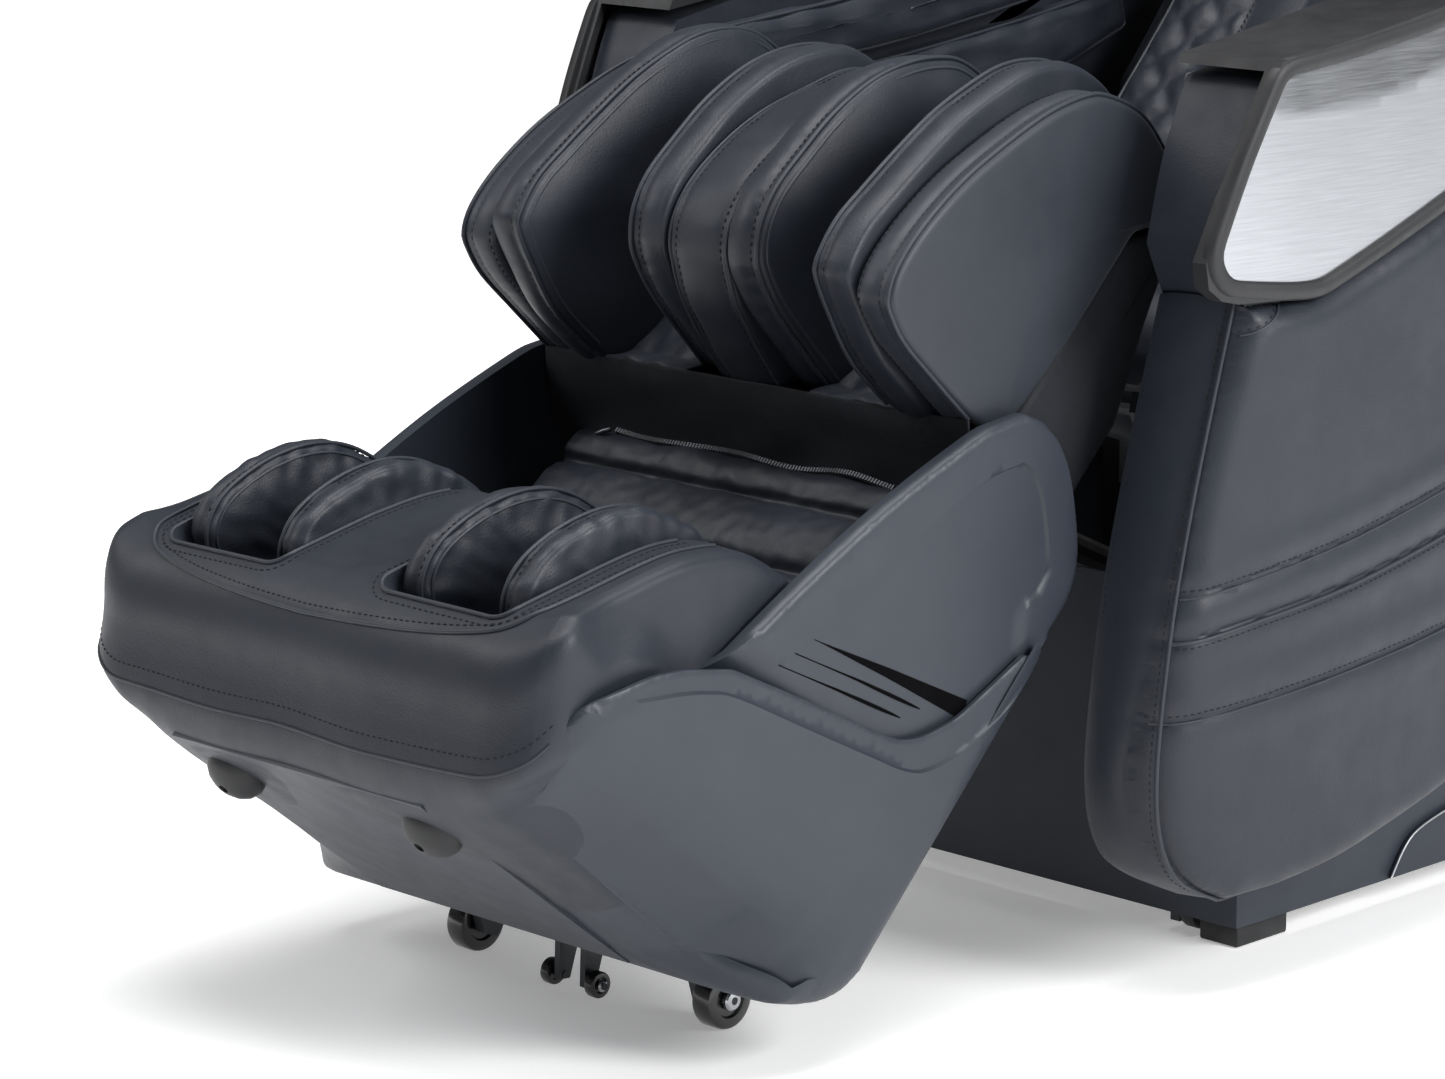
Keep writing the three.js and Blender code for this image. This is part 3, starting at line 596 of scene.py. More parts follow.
def triangulate(loop, lines, grid, dense):
    """Fills an outline with triangles: its points and its faces."""
    points = [tuple(p) for p in loop]
    edges = [(k, (k + 1) % len(loop)) for k in range(len(loop))]
    for line in lines:
        line = line_inside(line, loop, 2.0)
        start = len(points)
        points += [tuple(p) for p in line]
        edges += [(start + k, start + k + 1) for k in range(len(line) - 1)]
    rings = [even(inset(loop, gap), int(len(loop) * 0.8), closed=True) for gap in (1.2, 3.0, 5.5)]
    low, high = loop.min(0), loop.max(0)
    spots = grid_spots(low, high, grid)
    if dense:
        fine = grid_spots(low, high, grid / 3)
        spots = np.vstack([spots[~dense(spots)], fine[dense(fine)]])
    spots = np.vstack([*rings, spots[distance_to(loop, spots) > 8.5]])
    keep = inside(loop, spots) & (distance_to(loop, spots) > 0.8)
    for line in lines:
        keep &= distance_to(line, spots, closed=False) > 2.5
    points += [tuple(p) for p in spots[keep]]
    made = delaunay_2d_cdt([Vector(p) for p in points], edges, [], 0, 1e-5)
    flat = np.array([tuple(p) for p in made[0]])
    middles = np.array([flat[list(f)].mean(0) for f in made[2]])
    faces = [f for f, ok in zip(made[2], inside(loop, middles)) if ok]
    used = sorted({i for f in faces for i in f})
    number = {i: k for k, i in enumerate(used)}
    return flat[used], [tuple(number[i] for i in f) for f in faces]


def relief_plate(name, loop, inner, outer, look, body, slot, lines=(), grid=8.0, wall=((0.5, 0.0),),
                 smoothing=40, dense=None, **more):
    """A plate seen from the side, whose face has the X outer(points); inner is the X of a flat back,
    or a function like outer.

    lines are curves in the face that mesh edges follow. wall lists (share, how far it stands out).
    dense(points) says where the face needs a mesh three times as fine."""
    loop = even(left_turning(loop), max(60, int(path_length(loop, True) / grid * 1.3)), closed=True)
    flat, faces = triangulate(loop, lines, grid, dense)
    xs = outer(flat)
    vertices = [world(x, y, z) for x, (y, z) in zip(xs, flat)]
    back_xs = inner(flat) if callable(inner) else np.full(len(flat), float(inner))
    rim = border(faces)
    edge_line = left_turning(flat[rim])
    if not np.allclose(edge_line[0], flat[rim][0]):
        rim = rim[::-1]
        edge_line = flat[rim]
    front = list(faces)
    previous = list(rim)
    for share, out in [*wall, (1.0, 0.0)]:
        start = len(vertices)
        if share == 1.0 and callable(inner):
            vertices += [world(x, y, z) for x, (y, z) in zip(back_xs, flat)]
            ids = [start + i for i in rim]
        else:
            for i, (y, z) in zip(rim, outward(edge_line, out, True)):
                vertices.append(world(xs[i] * (1 - share) + back_xs[i] * share, y, z))
            ids = [start + k for k in range(len(rim))]
        for k in range(len(rim)):
            n = (k + 1) % len(rim)
            faces.append((previous[k], previous[n], ids[n], ids[k]))
        previous = ids
    if callable(inner):
        faces += [tuple(start + i for i in f[::-1]) for f in front]
    else:
        faces.append(tuple(previous))
    return make_piece(name, vertices, faces, look, body, slot, smoothing=smoothing, **more)


def border(faces):
    """The outer ring of a patch of faces, as vertex numbers in order."""
    seen = {}
    for f in faces:
        for a, b in zip(f, f[1:] + f[:1]):
            if (b, a) in seen:
                del seen[(b, a)]
            else:
                seen[(a, b)] = True
    step = dict(seen.keys())
    first = next(iter(step))
    ring = [first]
    while step[ring[-1]] != first and len(ring) <= len(step):
        ring.append(step[ring[-1]])
    return ring


def path_length(path, closed=False):
    """Length of a line of points."""
    path = np.array(path, float)
    if closed:
        path = np.vstack([path, path[:1]])
    return np.linalg.norm(np.diff(path, axis=0), axis=1).sum()


def line_inside(line, loop, margin):
    """The points of a line that lie inside a loop, away from its edge."""
    line = np.array(line, float)
    ok = inside(loop, line) & (distance_to(loop, line) > margin)
    return line[ok]


def rounding(distance, radius):
    """How far a rounded edge falls below the face, at a distance from the edge."""
    d = np.clip(distance, 0, radius)
    return radius - np.sqrt(np.maximum(radius**2 - (radius - d) ** 2, 0))


def bell(distance, width):
    """1 on a line, fading to 0 away from it."""
    return np.exp(-((distance / width) ** 2))


# ---------------------------------------------------------------- round parts


def revolve(name, profile, centre, axis, look, body, slot, sides=40, smoothing=35, **more):
    """A closed profile of (radius, along) in millimetres turned about an axis through a centre."""
    axis = Vector(axis).normalized()
    u = axis.orthogonal().normalized()
    v = axis.cross(u)
    vertices = []
    for k in range(sides):
        turn = 2 * math.pi * k / sides
        ray = u * math.cos(turn) + v * math.sin(turn)
        vertices += [Vector(centre) + (ray * r + axis * a) * MM for r, a in profile]
    n = len(profile)
    faces = []
    for k in range(sides):
        for i in range(n):
            a, b = k * n + i, k * n + (i + 1) % n
            c, d = ((k + 1) % sides) * n + (i + 1) % n, ((k + 1) % sides) * n + i
            faces.append((a, b, c, d))
    return make_piece(name, vertices, faces, look, body, slot, smoothing=smoothing, **more)


def box_tool(x0, x1, outline):
    """A temporary cutter: a plate of a side outline."""
    outline = left_turning(outline)
    cutter = loft("cutter", [(x0, outline), (x1, outline)], "rubber", None, None)
    return cutter


# ---------------------------------------------------------------- leg rest

CALF_WING = [
    (168, 207), (170, 263), (171, 308), (165, 336), (158, 348), (136, 356), (97, 356), (43, 346),
    (-12, 327), (-58, 307), (-93, 285), (-112, 265), (-130, 222), (-129, 180), (-119, 148), (-100, 124),
]
CALF_OUTER = [
    (175, 222), (177, 276), (167, 321), (154, 358), (141, 366), (110, 370), (76, 365), (33, 357),
    (-18, 345), (-62, 328), (-95, 311), (-122, 287), (-140, 259), (-148, 215), (-135, 165), (-112, 130),
]
CALF_INNER = [
    (152, 188), (150, 240), (147, 285), (138, 320), (128, 335), (110, 348), (80, 355), (37, 352),
    (-6, 346), (-52, 331), (-88, 310), (-116, 285), (-134, 258), (-142, 215), (-132, 165), (-112, 130),
]
CALF_DIVIDER = [
    (166, 204), (160, 247), (150, 289), (136, 317), (125, 332), (105, 343), (74, 347), (30, 340),
    (-14, 325), (-60, 300), (-105, 272), (-128, 240), (-136, 200), (-128, 160), (-112, 130),
]


def calf_line(points):
    """The arch of a calf pad as an evenly spaced side line."""
    return even(leg(curve(points, 70)), 90)


def calf_loop(points):
    line = calf_line(points)
    closing = leg([(-58, 159), (60, 159), (points[0][0] - 10, 168)])
    return np.vstack([line, np.array(closing)])


def arch_line(points):
    """The arch, turning so that outward() moves it away from the pad."""
    line = calf_line(points)
    loop = calf_loop(points)
    x, y = loop[:, 0], loop[:, 1]
    area = np.dot(x, np.roll(y, -1)) - np.dot(y, np.roll(x, -1))
    return line if area > 0 else line[::-1]


def seam(name, path_2d, x, out, body, radius=1.7, look="smooth_leather", closed=False):
    return tube(name, edge_path(path_2d, x, out, closed), radius, look, body, "leather", closed=closed)


def build_calf_wing(side, name):
    """The outermost pad of the calf rest, with piping and two rows of stitches."""
    x0, x1 = reach(side, 205.5, 246)
    wall = [(210.5, -0.5), (213, 0.9), (217, 1.9), (223, 2.4), (228.5, 1.6), (232, -0.6), (235, 0.9),
            (238.5, 0.2)]
    wall = mirrored(wall, side)
    made = side_pad(f"calf_wing_{name}_leather", calf_loop(CALF_WING), x0, x1, wall, "smooth_leather",
                    "leg_rest", "leather", radius=6, crown=pair(side, (1, 4)),
                    stands_for=[f"calf_wing_{name}"], soft=0.8)
    wrinkle(made, 0.7, (25, 120, 120), seed=side * 3.1,
            share=lambda co: bell(abs(co.x) - 0.222, 0.011))
    arch = arch_line(CALF_WING)
    seam(f"calf_wing_{name}_piping", arch, side * 241.5, 0.6, "leg_rest", radius=2.0)
    stitches(f"calf_wing_{name}_stitch_a", edge_path(arch, side * 210.5, -0.1), "leg_rest")
    stitches(f"calf_wing_{name}_stitch_b", edge_path(arch, side * 232, -0.2), "leg_rest")


def build_calf_cushion(side, name, points, inner, outer, well, label):
    """One airbag pad; well is the X of the face that looks into the well."""
    x0, x1 = reach(side, inner, outer)
    away = 1 if well == outer else -1  # direction from the pad towards the well, on the right side
    spots = [(7, 0.4), (9.5, 0.0), (12.2, -1.1), (15.5, 1.3), (22, 2.6), (29, 1.6), (33, 0.2)]
    wall = sorted([(well - away * d, out) for d, out in spots])
    wall = mirrored(wall, side)
    crown = (3, 13) if away > 0 else (13, 3)
    made = side_pad(f"calf_{label}_{name}", calf_loop(points), x0, x1, wall, "leather", "leg_rest",
                    "leather", radius=5, crown=pair(side, crown), soft=0.75)
    rim = abs(well) - away * 12
    wrinkle(made, 1.0, (30, 120, 120), seed=well * 0.37 + side,
            share=lambda co: bell(abs(co.x) - (rim - away * 4) * MM, 0.010))
    wrinkle(made, 2.5, (12, 14, 14), seed=well * 0.9 + side)
    arch = arch_line(points)
    seam(f"calf_{label}_{name}_piping", arch, side * (well - away * 4.2), 0.9, "leg_rest", radius=1.9)
    seam(f"calf_{label}_{name}_piping_b", arch, side * (well - away * 0.2), -7.0, "leg_rest", radius=1.5)
    stitches(f"calf_{label}_{name}_stitch", edge_path(arch, side * (well - away * 12.2), -0.5), "leg_rest")
    return made


def build_calf_divider():
    """The pad between the two calf wells."""
    wall = [(-30, 0), (-27.5, -0.2), (-25.3, -1.0), (-22, 0.9), (-14, 2.2), (0, 3.0), (14, 2.2), (22, 0.9),
            (25.3, -1.0), (27.5, -0.2), (30, 0)]
    made = side_pad("calf_divider_pad", calf_loop(CALF_DIVIDER), -34, 34, wall, "leather", "leg_rest",
                    "leather", radius=4, crown=(3, 3), stands_for=["calf_divider"], soft=0.75)
    wrinkle(made, 1.2, (30, 40, 40), seed=5.5)
    arch = arch_line(CALF_DIVIDER)
    for side, name in ((1, "right"), (-1, "left")):
        stitches(f"calf_divider_stitch_{name}", edge_path(arch, side * 25.3, -0.4), "leg_rest")
        seam(f"calf_divider_piping_{name}", arch, side * 32.0, -0.4, "leg_rest", radius=1.3)


def strip_sheet(name, line, xs, thickness, look, body, slot, bend=None, spread=None, **more):
    """A sheet across X along a side line, thickened to the right of the line.

    bend(x, share) adds height to the left, and spread(x, share) moves a point across X."""
    line = np.array(line, float)
    count = len(line)
    along = np.gradient(line, axis=0)
    along /= np.linalg.norm(along, axis=1)[:, None]
    normal = np.stack([-along[:, 1], along[:, 0]], 1)
    vertices = []
    for x in xs:
        shares = [k / (count - 1) for k in range(count)]
        places = [spread(x, t) if spread else x for t in shares]
        lifts = [bend(place, t) if bend else 0.0 for place, t in zip(places, shares)]
        for place, p, n, lift in zip(places, line, normal, lifts):
            vertices.append(world(place, *(p + n * lift)))
        for place, p, n, lift in list(zip(places, line, normal, lifts))[::-1]:
            vertices.append(world(place, *(p + n * (lift - thickness))))
    faces = ring_faces(len(xs), 2 * count, zipped=True)
    return make_piece(name, vertices, faces, look, body, slot, smoothing=50, **more)


def build_well_floors():
    """The leather at the bottom of the calf wells."""
    line = even(leg([(172, 206), (150, 186), (110, 179), (20, 178), (-60, 172), (-110, 150)]), 60)
    for side, name in ((1, "right"), (-1, "left")):
        xs = [side * x for x in np.linspace(70, 172, 40)]
        made = strip_sheet(f"well_floor_{name}", line[::-1], xs, 4, "leather", "leg_rest", "leather",
                           bend=lambda x, t: 3.0 * noise.noise(Vector((x * 0.06, t * 9, side))))
        refine(made)
        hem = [world(x, *(np.array(leg([(166, 202.5)])[0]))) for x in np.linspace(74, 168, 30) * side]
        stitches(f"well_hem_{name}", hem, "leg_rest")


def build_liner():
    """The dark skirt below the pads and the lining block behind them."""
    block = [(-106, 112), (-20, 86), (60, 56), (192, 56), (193, 140), (186, 150), (150, 158), (-52, 156),
             (-98, 121)]
    side_pad("calf_lining", leg(block), -238, 238, [(-230, 0), (0, 0), (230, 0)], "lining", "leg_rest",
             "lining", radius=6, crown=(0, 0), fine=0, stands_for=["calf_liner"], soft=0.4)
    line = even(leg(curve([(170, 208), (180, 196), (193, 176), (205, 158), (212, 150)], 24)), 26)
    xs = np.linspace(-243, 243, 120)
    made = strip_sheet("calf_skirt", line[::-1], xs, 3, "lining", "leg_rest", "lining",
                       bend=lambda x, t: 2.5 * noise.noise(Vector((x * 0.016, t * 2, 4.0))))
    refine(made)


def build_bellows():
    """Gathered leather between the calf rest and the foot box, with a zip along its top."""
    centres = [(206, 150), (214, 157), (222, 162), (231, 163), (240, 161), (246, 155), (252, 161),
               (266, 166), (282, 167), (298, 164), (308, 157), (315, 163), (330, 165), (346, 160),
               (360, 151), (368, 138)]
    line = even(leg(curve(centres, 90)), 110)
    xs = np.linspace(-204, 204, 130)

    def gathers(x, t):
        fold = noise.noise(Vector((x * 0.022, t * 3.0, 0.7)))
        fine = noise.noise(Vector((x * 0.07, t * 14.0, 2.2)))
        return 4.0 * fold + 1.3 * fine

    made = strip_sheet("calf_bellows_leather", line[::-1], xs, 5, "leather", "leg_rest", "leather",
                       bend=gathers, stands_for=["calf_bellows"], soft=0.3)
    refine(made)
    wave = [(x, 212 + 2.2 * math.sin(x * 0.045), 157 + 1.6 * math.sin(x * 0.06 + 1)) for x in
            np.linspace(-160, 160, 110)]
    tape = [world(x, *leg([(d, o)])[0]) for x, d, o in wave]
    zipper = [tube("zip_tape", tape, 3.2, "lining", "leg_rest", "leather")]
    zipper.append(stitched_teeth("zip_teeth", resample(tape, 3.1)))
    pull = [(-163, 213, 162), (-168, 216, 163), (-176, 219, 161)]
    pull = [world(x, *leg([(d, o)])[0]) for x, d, o in pull]
    zipper.append(tube("zip_pull", pull, 2.2, "zip_metal", "leg_rest", "leather"))
    fixed_end = tuple(world(0, *leg([(206, 150)])[0]))
    for piece in [made, *zipper]:
        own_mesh(piece)


def stitched_teeth(name, spots):
    """Zip teeth: short bars across the tape."""
    along, u, v = frame_along(spots, False)
    vertices, faces = [], []
    for p, t in zip(spots, along):
        out = np.array([0, -S45, S45])
        cross = np.cross(t, out)
        start = len(vertices)
        for a in (-0.9, 0.9):
            for b in (-2.1, 2.1):
                for c in (0.4, 3.6):
                    vertices.append(tuple(p + (t * a + cross * b + out * c) * MM))
        quads = [(0, 1, 3, 2), (4, 6, 7, 5), (0, 4, 5, 1), (2, 3, 7, 6), (0, 2, 6, 4), (1, 5, 7, 3)]
        faces += [tuple(start + k for k in q) for q in quads]
    return make_piece(name, vertices, faces, "zip_metal", "leg_rest", "leather", smoothing=30)


# ---------------------------------------------------------------- calf covers and foot shell

COVER_EDGE = curve([(245, 33), (212, 33), (185, 45), (163, 69), (139, 106), (130, 135)], 20)
COVER_EDGE += curve([(131, 160), (139, 180)], 4)
COVER_EDGE += curve([(166, 201), (190, 215), (283, 255), (388, 290), (490, 318)], 24)
FOOT_TRAVEL = 120
SHELL_WAVE = curve([(657.7, 372), (645, 368), (631, 375), (617, 396), (599, 411), (578, 409), (554, 395),
                    (530, 378), (507, 355)], 50)
SHELL_WAVE += curve([(477, 313), (452, 242), (434, 190), (409, 121), (371, 86), (330, 68), (279, 51)], 40)
SHELL_LOW = [(264, 23.5)] + curve([(566, 19), (592, 29), (614, 54), (630, 105), (635, 153)], 24)
SHELL_LOW += [(647, 291), (657, 362)]
FRONT_OUT = [54, 105, 153, 291, 370, 392, 410, 421]
FRONT_DOWN = [618, 644, 652, 665, 675, 677, 668, 650]
ROLL_X = [140, 175, 205, 214, 222, 240, 258, 270, 277, 280]
ROLL_BACK = [0, 4, 13, 18, 27, 45, 64, 82, 105, 135]
BAND_EDGE = [(-1017, 327), (-976, 325), (-947, 321), (-919, 313), (-851, 279), (-771, 239), (-735, 222),
             (-709, 217), (-672, 224), (-614, 250), (-560, 285), (-515, 320)]
GROOVES = [
    ([(-823, 339), (-740, 298), (-655, 254)], 0.5, 8.0),
    ([(-844, 332), (-775, 299), (-706, 264)], 0.4, 2.2),
    ([(-866, 328), (-797, 295), (-728, 261)], 0.4, 2.2),
]


def leg_place(points):
    """Distance down the leg and out from it, for points in the side view."""
    y, z = points[:, 0] - KNEE_Y, points[:, 1] - KNEE_Z
    return -(y + z) * S45, (z - y) * S45


def shell_half_width(down, out):
    """Half the width of the foot shell's side, which wraps round onto the front."""
    share = np.clip((out - 60) / 90, 0, 1)
    share = share * share * (3 - 2 * share)
    wrapped = np.interp(np.interp(out, FRONT_OUT, FRONT_DOWN) - down, ROLL_BACK, ROLL_X) + 1.5
    return wrapped * share + 279.5 * (1 - share)


def build_calf_cover(side, name):
    """The side cover of the leg rest, with a flat band along its edge and three tapered grooves drawn as
    thin near-black plates: painted shade in place of cut recesses.
    """
    loop = left_turning(leg(COVER_EDGE + [(490, 82), (455, 38), (428, 33)]))
    edge = even(leg(COVER_EDGE), 120)
    bands = [even(smooth(outward(edge, -gap, False), 6, closed=False), 70) for gap in (36, 38)]

    def half_width(points):
        rim = distance_to(edge, points, closed=False)
        step = np.clip((rim - 36) / 2, 0, 1)
        down, out = leg_place(points)
        room = shell_half_width(down + FOOT_TRAVEL, out) - 9
        return np.minimum(270.0 - rounding(rim + 1.2, 7) - 2.8 * step, room)

    def face(points):
        return side * half_width(points)

    def back(points):
        return side * np.minimum(half_width(points) - 9, 253.5)

    relief_plate(f"calf_cover_{name}_panel", loop, back, face, "shell", "leg_rest", "shell", lines=bands,
                 grid=8, wall=((0.5, 0.6),), smoothing=48, stands_for=[f"calf_cover_{name}"])
    for number, (line, narrow, wide) in enumerate(GROOVES):
        line = even(line, 30)
        share = np.linspace(0, 1, 30)
        tail = 1.0 if number == 0 else np.sin(math.pi * share ** 1.6) ** 0.8
        widths = np.maximum(narrow + (wide * share - narrow) * tail, 0.3)
        along = np.gradient(line, axis=0)
        along /= np.linalg.norm(along, axis=1)[:, None]
        normal = np.stack([-along[:, 1], along[:, 0]], 1)
        upper, lower = line + normal * widths[:, None], line - normal * widths[:, None]
        outline = np.vstack([lower, upper[::-1]])
        # Each one is a thin near-black plate laid on the face: painted shade that stands for the shadow in
        # a cut.
        plate(f"calf_cover_{name}_groove_{number}", outline, *reach(side, 265, 267.7), "gap", "leg_rest",
              "shell")


def build_foot_shell_side(side, name):
    """The side of the foot section, which wraps round onto the front."""
    wave = leg(SHELL_WAVE)
    low = leg(SHELL_LOW)
    band = even(curve(BAND_EDGE, 60), 120)
    step_line = band + [0, 2.4]

    def face(points):
        top = distance_to(wave, points, closed=False)
        below = distance_to(low, points, closed=False)
        line = distance_to(band, points, closed=False)
        down, out = leg_place(points)
        square = 1 - np.clip((out - 60) / 90, 0, 1)
        x = shell_half_width(down, out) - rounding(below + 1, 26) * square * square * (3 - 2 * square)
        fade = np.clip((-530 - points[:, 0]) / 90, 0, 1)
        above = points[:, 1] > np.interp(points[:, 0], band[:, 0], band[:, 1])
        step = np.clip(np.where(above, line, 0.0) / 2.4, 0, 1) * 2.6
        lean = np.clip(np.where(above, line - 2.4, 0.0), 0, 44) * 0.06
        return side * (x - (step + lean) * fade - rounding(top + 0.8, 3.2))

    def back(points):
        down, out = leg_place(points)
        return side * np.minimum(np.abs(face(points)) - 0.6, shell_half_width(down, out) - 8.6)

    def near_front(points):
        down, out = leg_place(points)
        return np.interp(out, FRONT_OUT, FRONT_DOWN) - down < 75

    relief_plate(f"foot_shell_side_{name}", left_turning(wave + low), back, face, "shell", "foot_section",
                 "shell", lines=[band, step_line], grid=8, smoothing=42, dense=near_front)


def build_foot_shell():
    """The sole of the foot section, with slots for the wheels, and its two sides."""
    outline = [(264, 23.5), (420, 21)]
    outline += curve([(566, 19), (593, 29), (618, 54), (644, 105), (652, 153)], 30)
    outline = even(leg(outline + [(660, 240)]), 90)
    outs = [(z - KNEE_Z - y + KNEE_Y) * S45 for y, z in outline]

    def share_at(t):
        return smoothstep(60, 150, outs[min(89, int(round(t * 89)))])

    def spread(x, t):
        share = share_at(t)
        return x * (216 * share + 278 * (1 - share))

    def bend(x, t):
        share = share_at(t)
        small = 26 - math.sqrt(max(26**2 - max(abs(x) - 253, 0) ** 2, 0))
        wrapped = (abs(x) - 279.5 * (1 - share)) / max(share, 0.001)
        return -max(np.interp(wrapped, ROLL_X, ROLL_BACK), small * (1 - share)) - 1.0

    made = strip_sheet("foot_sole", outline, np.linspace(-1, 1, 90), 6, "shell", "foot_section", "shell",
                       bend=bend, spread=spread, stands_for=["foot_shell"])
    cutters = []
    for side in (1, -1):
        slot = leg([(548, -12), (634, -12), (634, 82), (548, 82)])
        cutters.append(box_tool(*reach(side, 119, 158), slot))
    cutters.append(box_tool(-40, 40, leg([(578, 6), (644, 6), (644, 86), (578, 86)])))
    subtract(made, *cutters)
    shade(made, 40)
    lip = even(leg([(648, 118), (655, 175), (668, 291), (677, 362), (679, 384)]), 40)
    strip_sheet("foot_sole_plate", lip, np.linspace(-146, 146, 30), 4, "shell", "foot_section", "shell")
    for side, name in ((1, "right"), (-1, "left")):
        build_foot_shell_side(side, name)


# ---------------------------------------------------------------- foot box

FOOT_FRONT = curve([(655, 215), (665, 291), (673, 350), (675, 374), (672, 391), (662, 405), (648, 415),
                    (634, 424)], 60)
FOOT_TOP = curve([(622, 433), (602, 449), (576, 458), (541, 453)], 24)
FOOT_TOP += curve([(470, 408), (421, 371), (388, 330), (374, 267), (372, 160), (374, 64)], 50)


def rounded_box(x0, x1, y0, y1, radius, steps=8):
    corners = [(x1 - radius, y1 - radius, 0), (x0 + radius, y1 - radius, 90),
               (x0 + radius, y0 + radius, 180), (x1 - radius, y0 + radius, 270)]
    loop = []
    for x, y, start in corners:
        for k in range(steps + 1):
            turn = math.radians(start + 90 * k / steps)
            loop.append((x + radius * math.cos(turn), y + radius * math.sin(turn)))
    return loop


def well_cutter(side):
    """A rounded opening that runs straight down the leg direction into the foot box."""
    x0, x1 = reach(side, 57, 197)
    loop = rounded_box(x0, x1, 300, 550, 16)
    vertices = []
    for out in (142, 640):
        for x, d in loop:
            vertices.append(world(x, *leg([(d, out)])[0]))
    return make_piece("cutter", vertices, ring_faces(2, len(loop)), "rubber", None, None)


def corner_back(x, out):
    """How far the front of the foot section falls back at a distance from the middle."""
    low = np.interp(abs(x), ROLL_X, ROLL_BACK)
    high = 62 - math.sqrt(max(62**2 - max(abs(x) - 206, 0) ** 2, 0))
    share = smoothstep(372, 415, out)
    return low * (1 - share) + high * share


def build_foot_box():
    """The leather box round the feet, with two wells cut into it and its seams."""
    wall = [(x, 3.5 * math.cos(x / 240 * math.pi / 2) ** 0.5) for x in np.linspace(-236, 236, 56)]
    loop = leg(FOOT_FRONT + FOOT_TOP + [(560, 60), (596, 76), (622, 120), (640, 170)])
    made = side_pad("foot_box_leather", loop, -248, 248, wall, "leather", "foot_section", "leather",
                    radius=12, crown=(1, 1), count=220, fine=1, stands_for=["foot_box"], soft=0.8)
    for v in made.data.vertices:
        y, z = v.co.y / MM - SHIFT - KNEE_Y, v.co.z / MM - KNEE_Z
        down, out = -(y + z) * S45, (z - y) * S45
        v.co.x *= 1 + 0.066 * smoothstep(500, 600, down) * smoothstep(260, 380, out)
        back = corner_back(v.co.x / MM, out) * smoothstep(400, 625, down)
        v.co.y += back * S45 * MM
        v.co.z += back * S45 * MM
    made.data.update()
    wrinkle(made, 3.0, (8, 8, 8), seed=2.2)
    whole = made.copy()
    whole.data = made.data.copy()
    bpy.context.collection.objects.link(whole)
    bpy.context.view_layer.update()
    subtract(made, well_cutter(1), well_cutter(-1))
    shade(made, 40)
    foot_box_seams(whole)
    bpy.data.objects.remove(whole)


def strike(shape, start, direction, lift):
    """Where a line meets a piece, a little above its surface."""
    hit, spot, normal, _ = shape.ray_cast(start, Vector(direction))
    return spot + normal * lift * MM if hit else None


def from_front(shape, x, out, lift):
    """Where a line up the leg direction meets the front of the box."""
    return strike(shape, world(x, *leg([(760, out)])[0]), (0, S45, S45), lift)


def foot_box_seams(shape):
    """Piping and stitches laid on the uncut box: its front, its top panel and the rims of the wells."""
    xs = np.linspace(-258, 258, 150)
    welt = [from_front(shape, x, 411, 0.5) for x in xs]
    tube("foot_front_seam", [p for p in welt if p], 1.1, "smooth_leather", "foot_section", "leather")
    line = [from_front(shape, x, 418.5, 0.2) for x in xs]
    stitches("foot_front_stitch", [p for p in line if p], "foot_section")
    half = curve([(0, 585), (60, 583), (120, 578), (170, 570), (203, 558), (219, 536), (223, 505)], 60)
    half += curve([(223, 480), (224, 440), (224, 398)], 20)
    for label, shift, lift in (("piping", 0, 0.8), ("stitch", 7, 0.25)):
        side_run = outward(np.array(half, float), shift, False)
        path = [(-x, d) for x, d in side_run[::-1]] + [(x, d) for x, d in side_run[1:]]
        hits = [well_hit(shape, x, d, lift) for x, d in even(path, 300)]
        hits = [p for p in hits if p]
        if label == "piping":
            tube("foot_panel_piping", hits, 1.8, "smooth_leather", "foot_section", "leather")
        else:
            stitches("foot_panel_stitch", hits, "foot_section")
    for side, name in ((1, "right"), (-1, "left")):
        x0, x1 = reach(side, 55, 199)
        loop = left_turning(even(rounded_box(x0, x1, 300, 552, 17), 220, closed=True))
        for label, ring, lift in (("piping", loop, 0.8), ("stitch", inset(loop, -8), 0.3)):
            hits = [well_hit(shape, x, d, lift) for x, d in ring if d > 405]
            hits = longest_run([p for p in hits if p])
            if label == "piping":
                tube(f"foot_well_piping_{name}", hits, 1.8, "smooth_leather", "foot_section", "leather")
            else:
                stitches(f"foot_well_stitch_{name}", hits, "foot_section")


def longest_run(points):
    """The points put in order so that the one large gap of a ring falls at its ends."""
    jumps = [(points[k] - points[k - 1]).length for k in range(len(points))]
    start = int(np.argmax(jumps))
    return points[start:] + points[:start]


def well_hit(shape, x, down, lift):
    """Where a line into the foot, square to the leg, meets the box at x and down."""
    start = world(x, *leg([(down, 640)])[0])
    hit, spot, normal, _ = shape.ray_cast(start, Vector((0, S45, -S45)))
    return spot + normal * lift * MM if hit else None


LOBE = [(543, 145), (547, 300)]
LOBE_TOP = curve([(547, 405), (542, 434), (524, 450), (494, 452), (450, 434), (412, 403), (390, 362),
                  (381, 300), (379, 230)], 50)


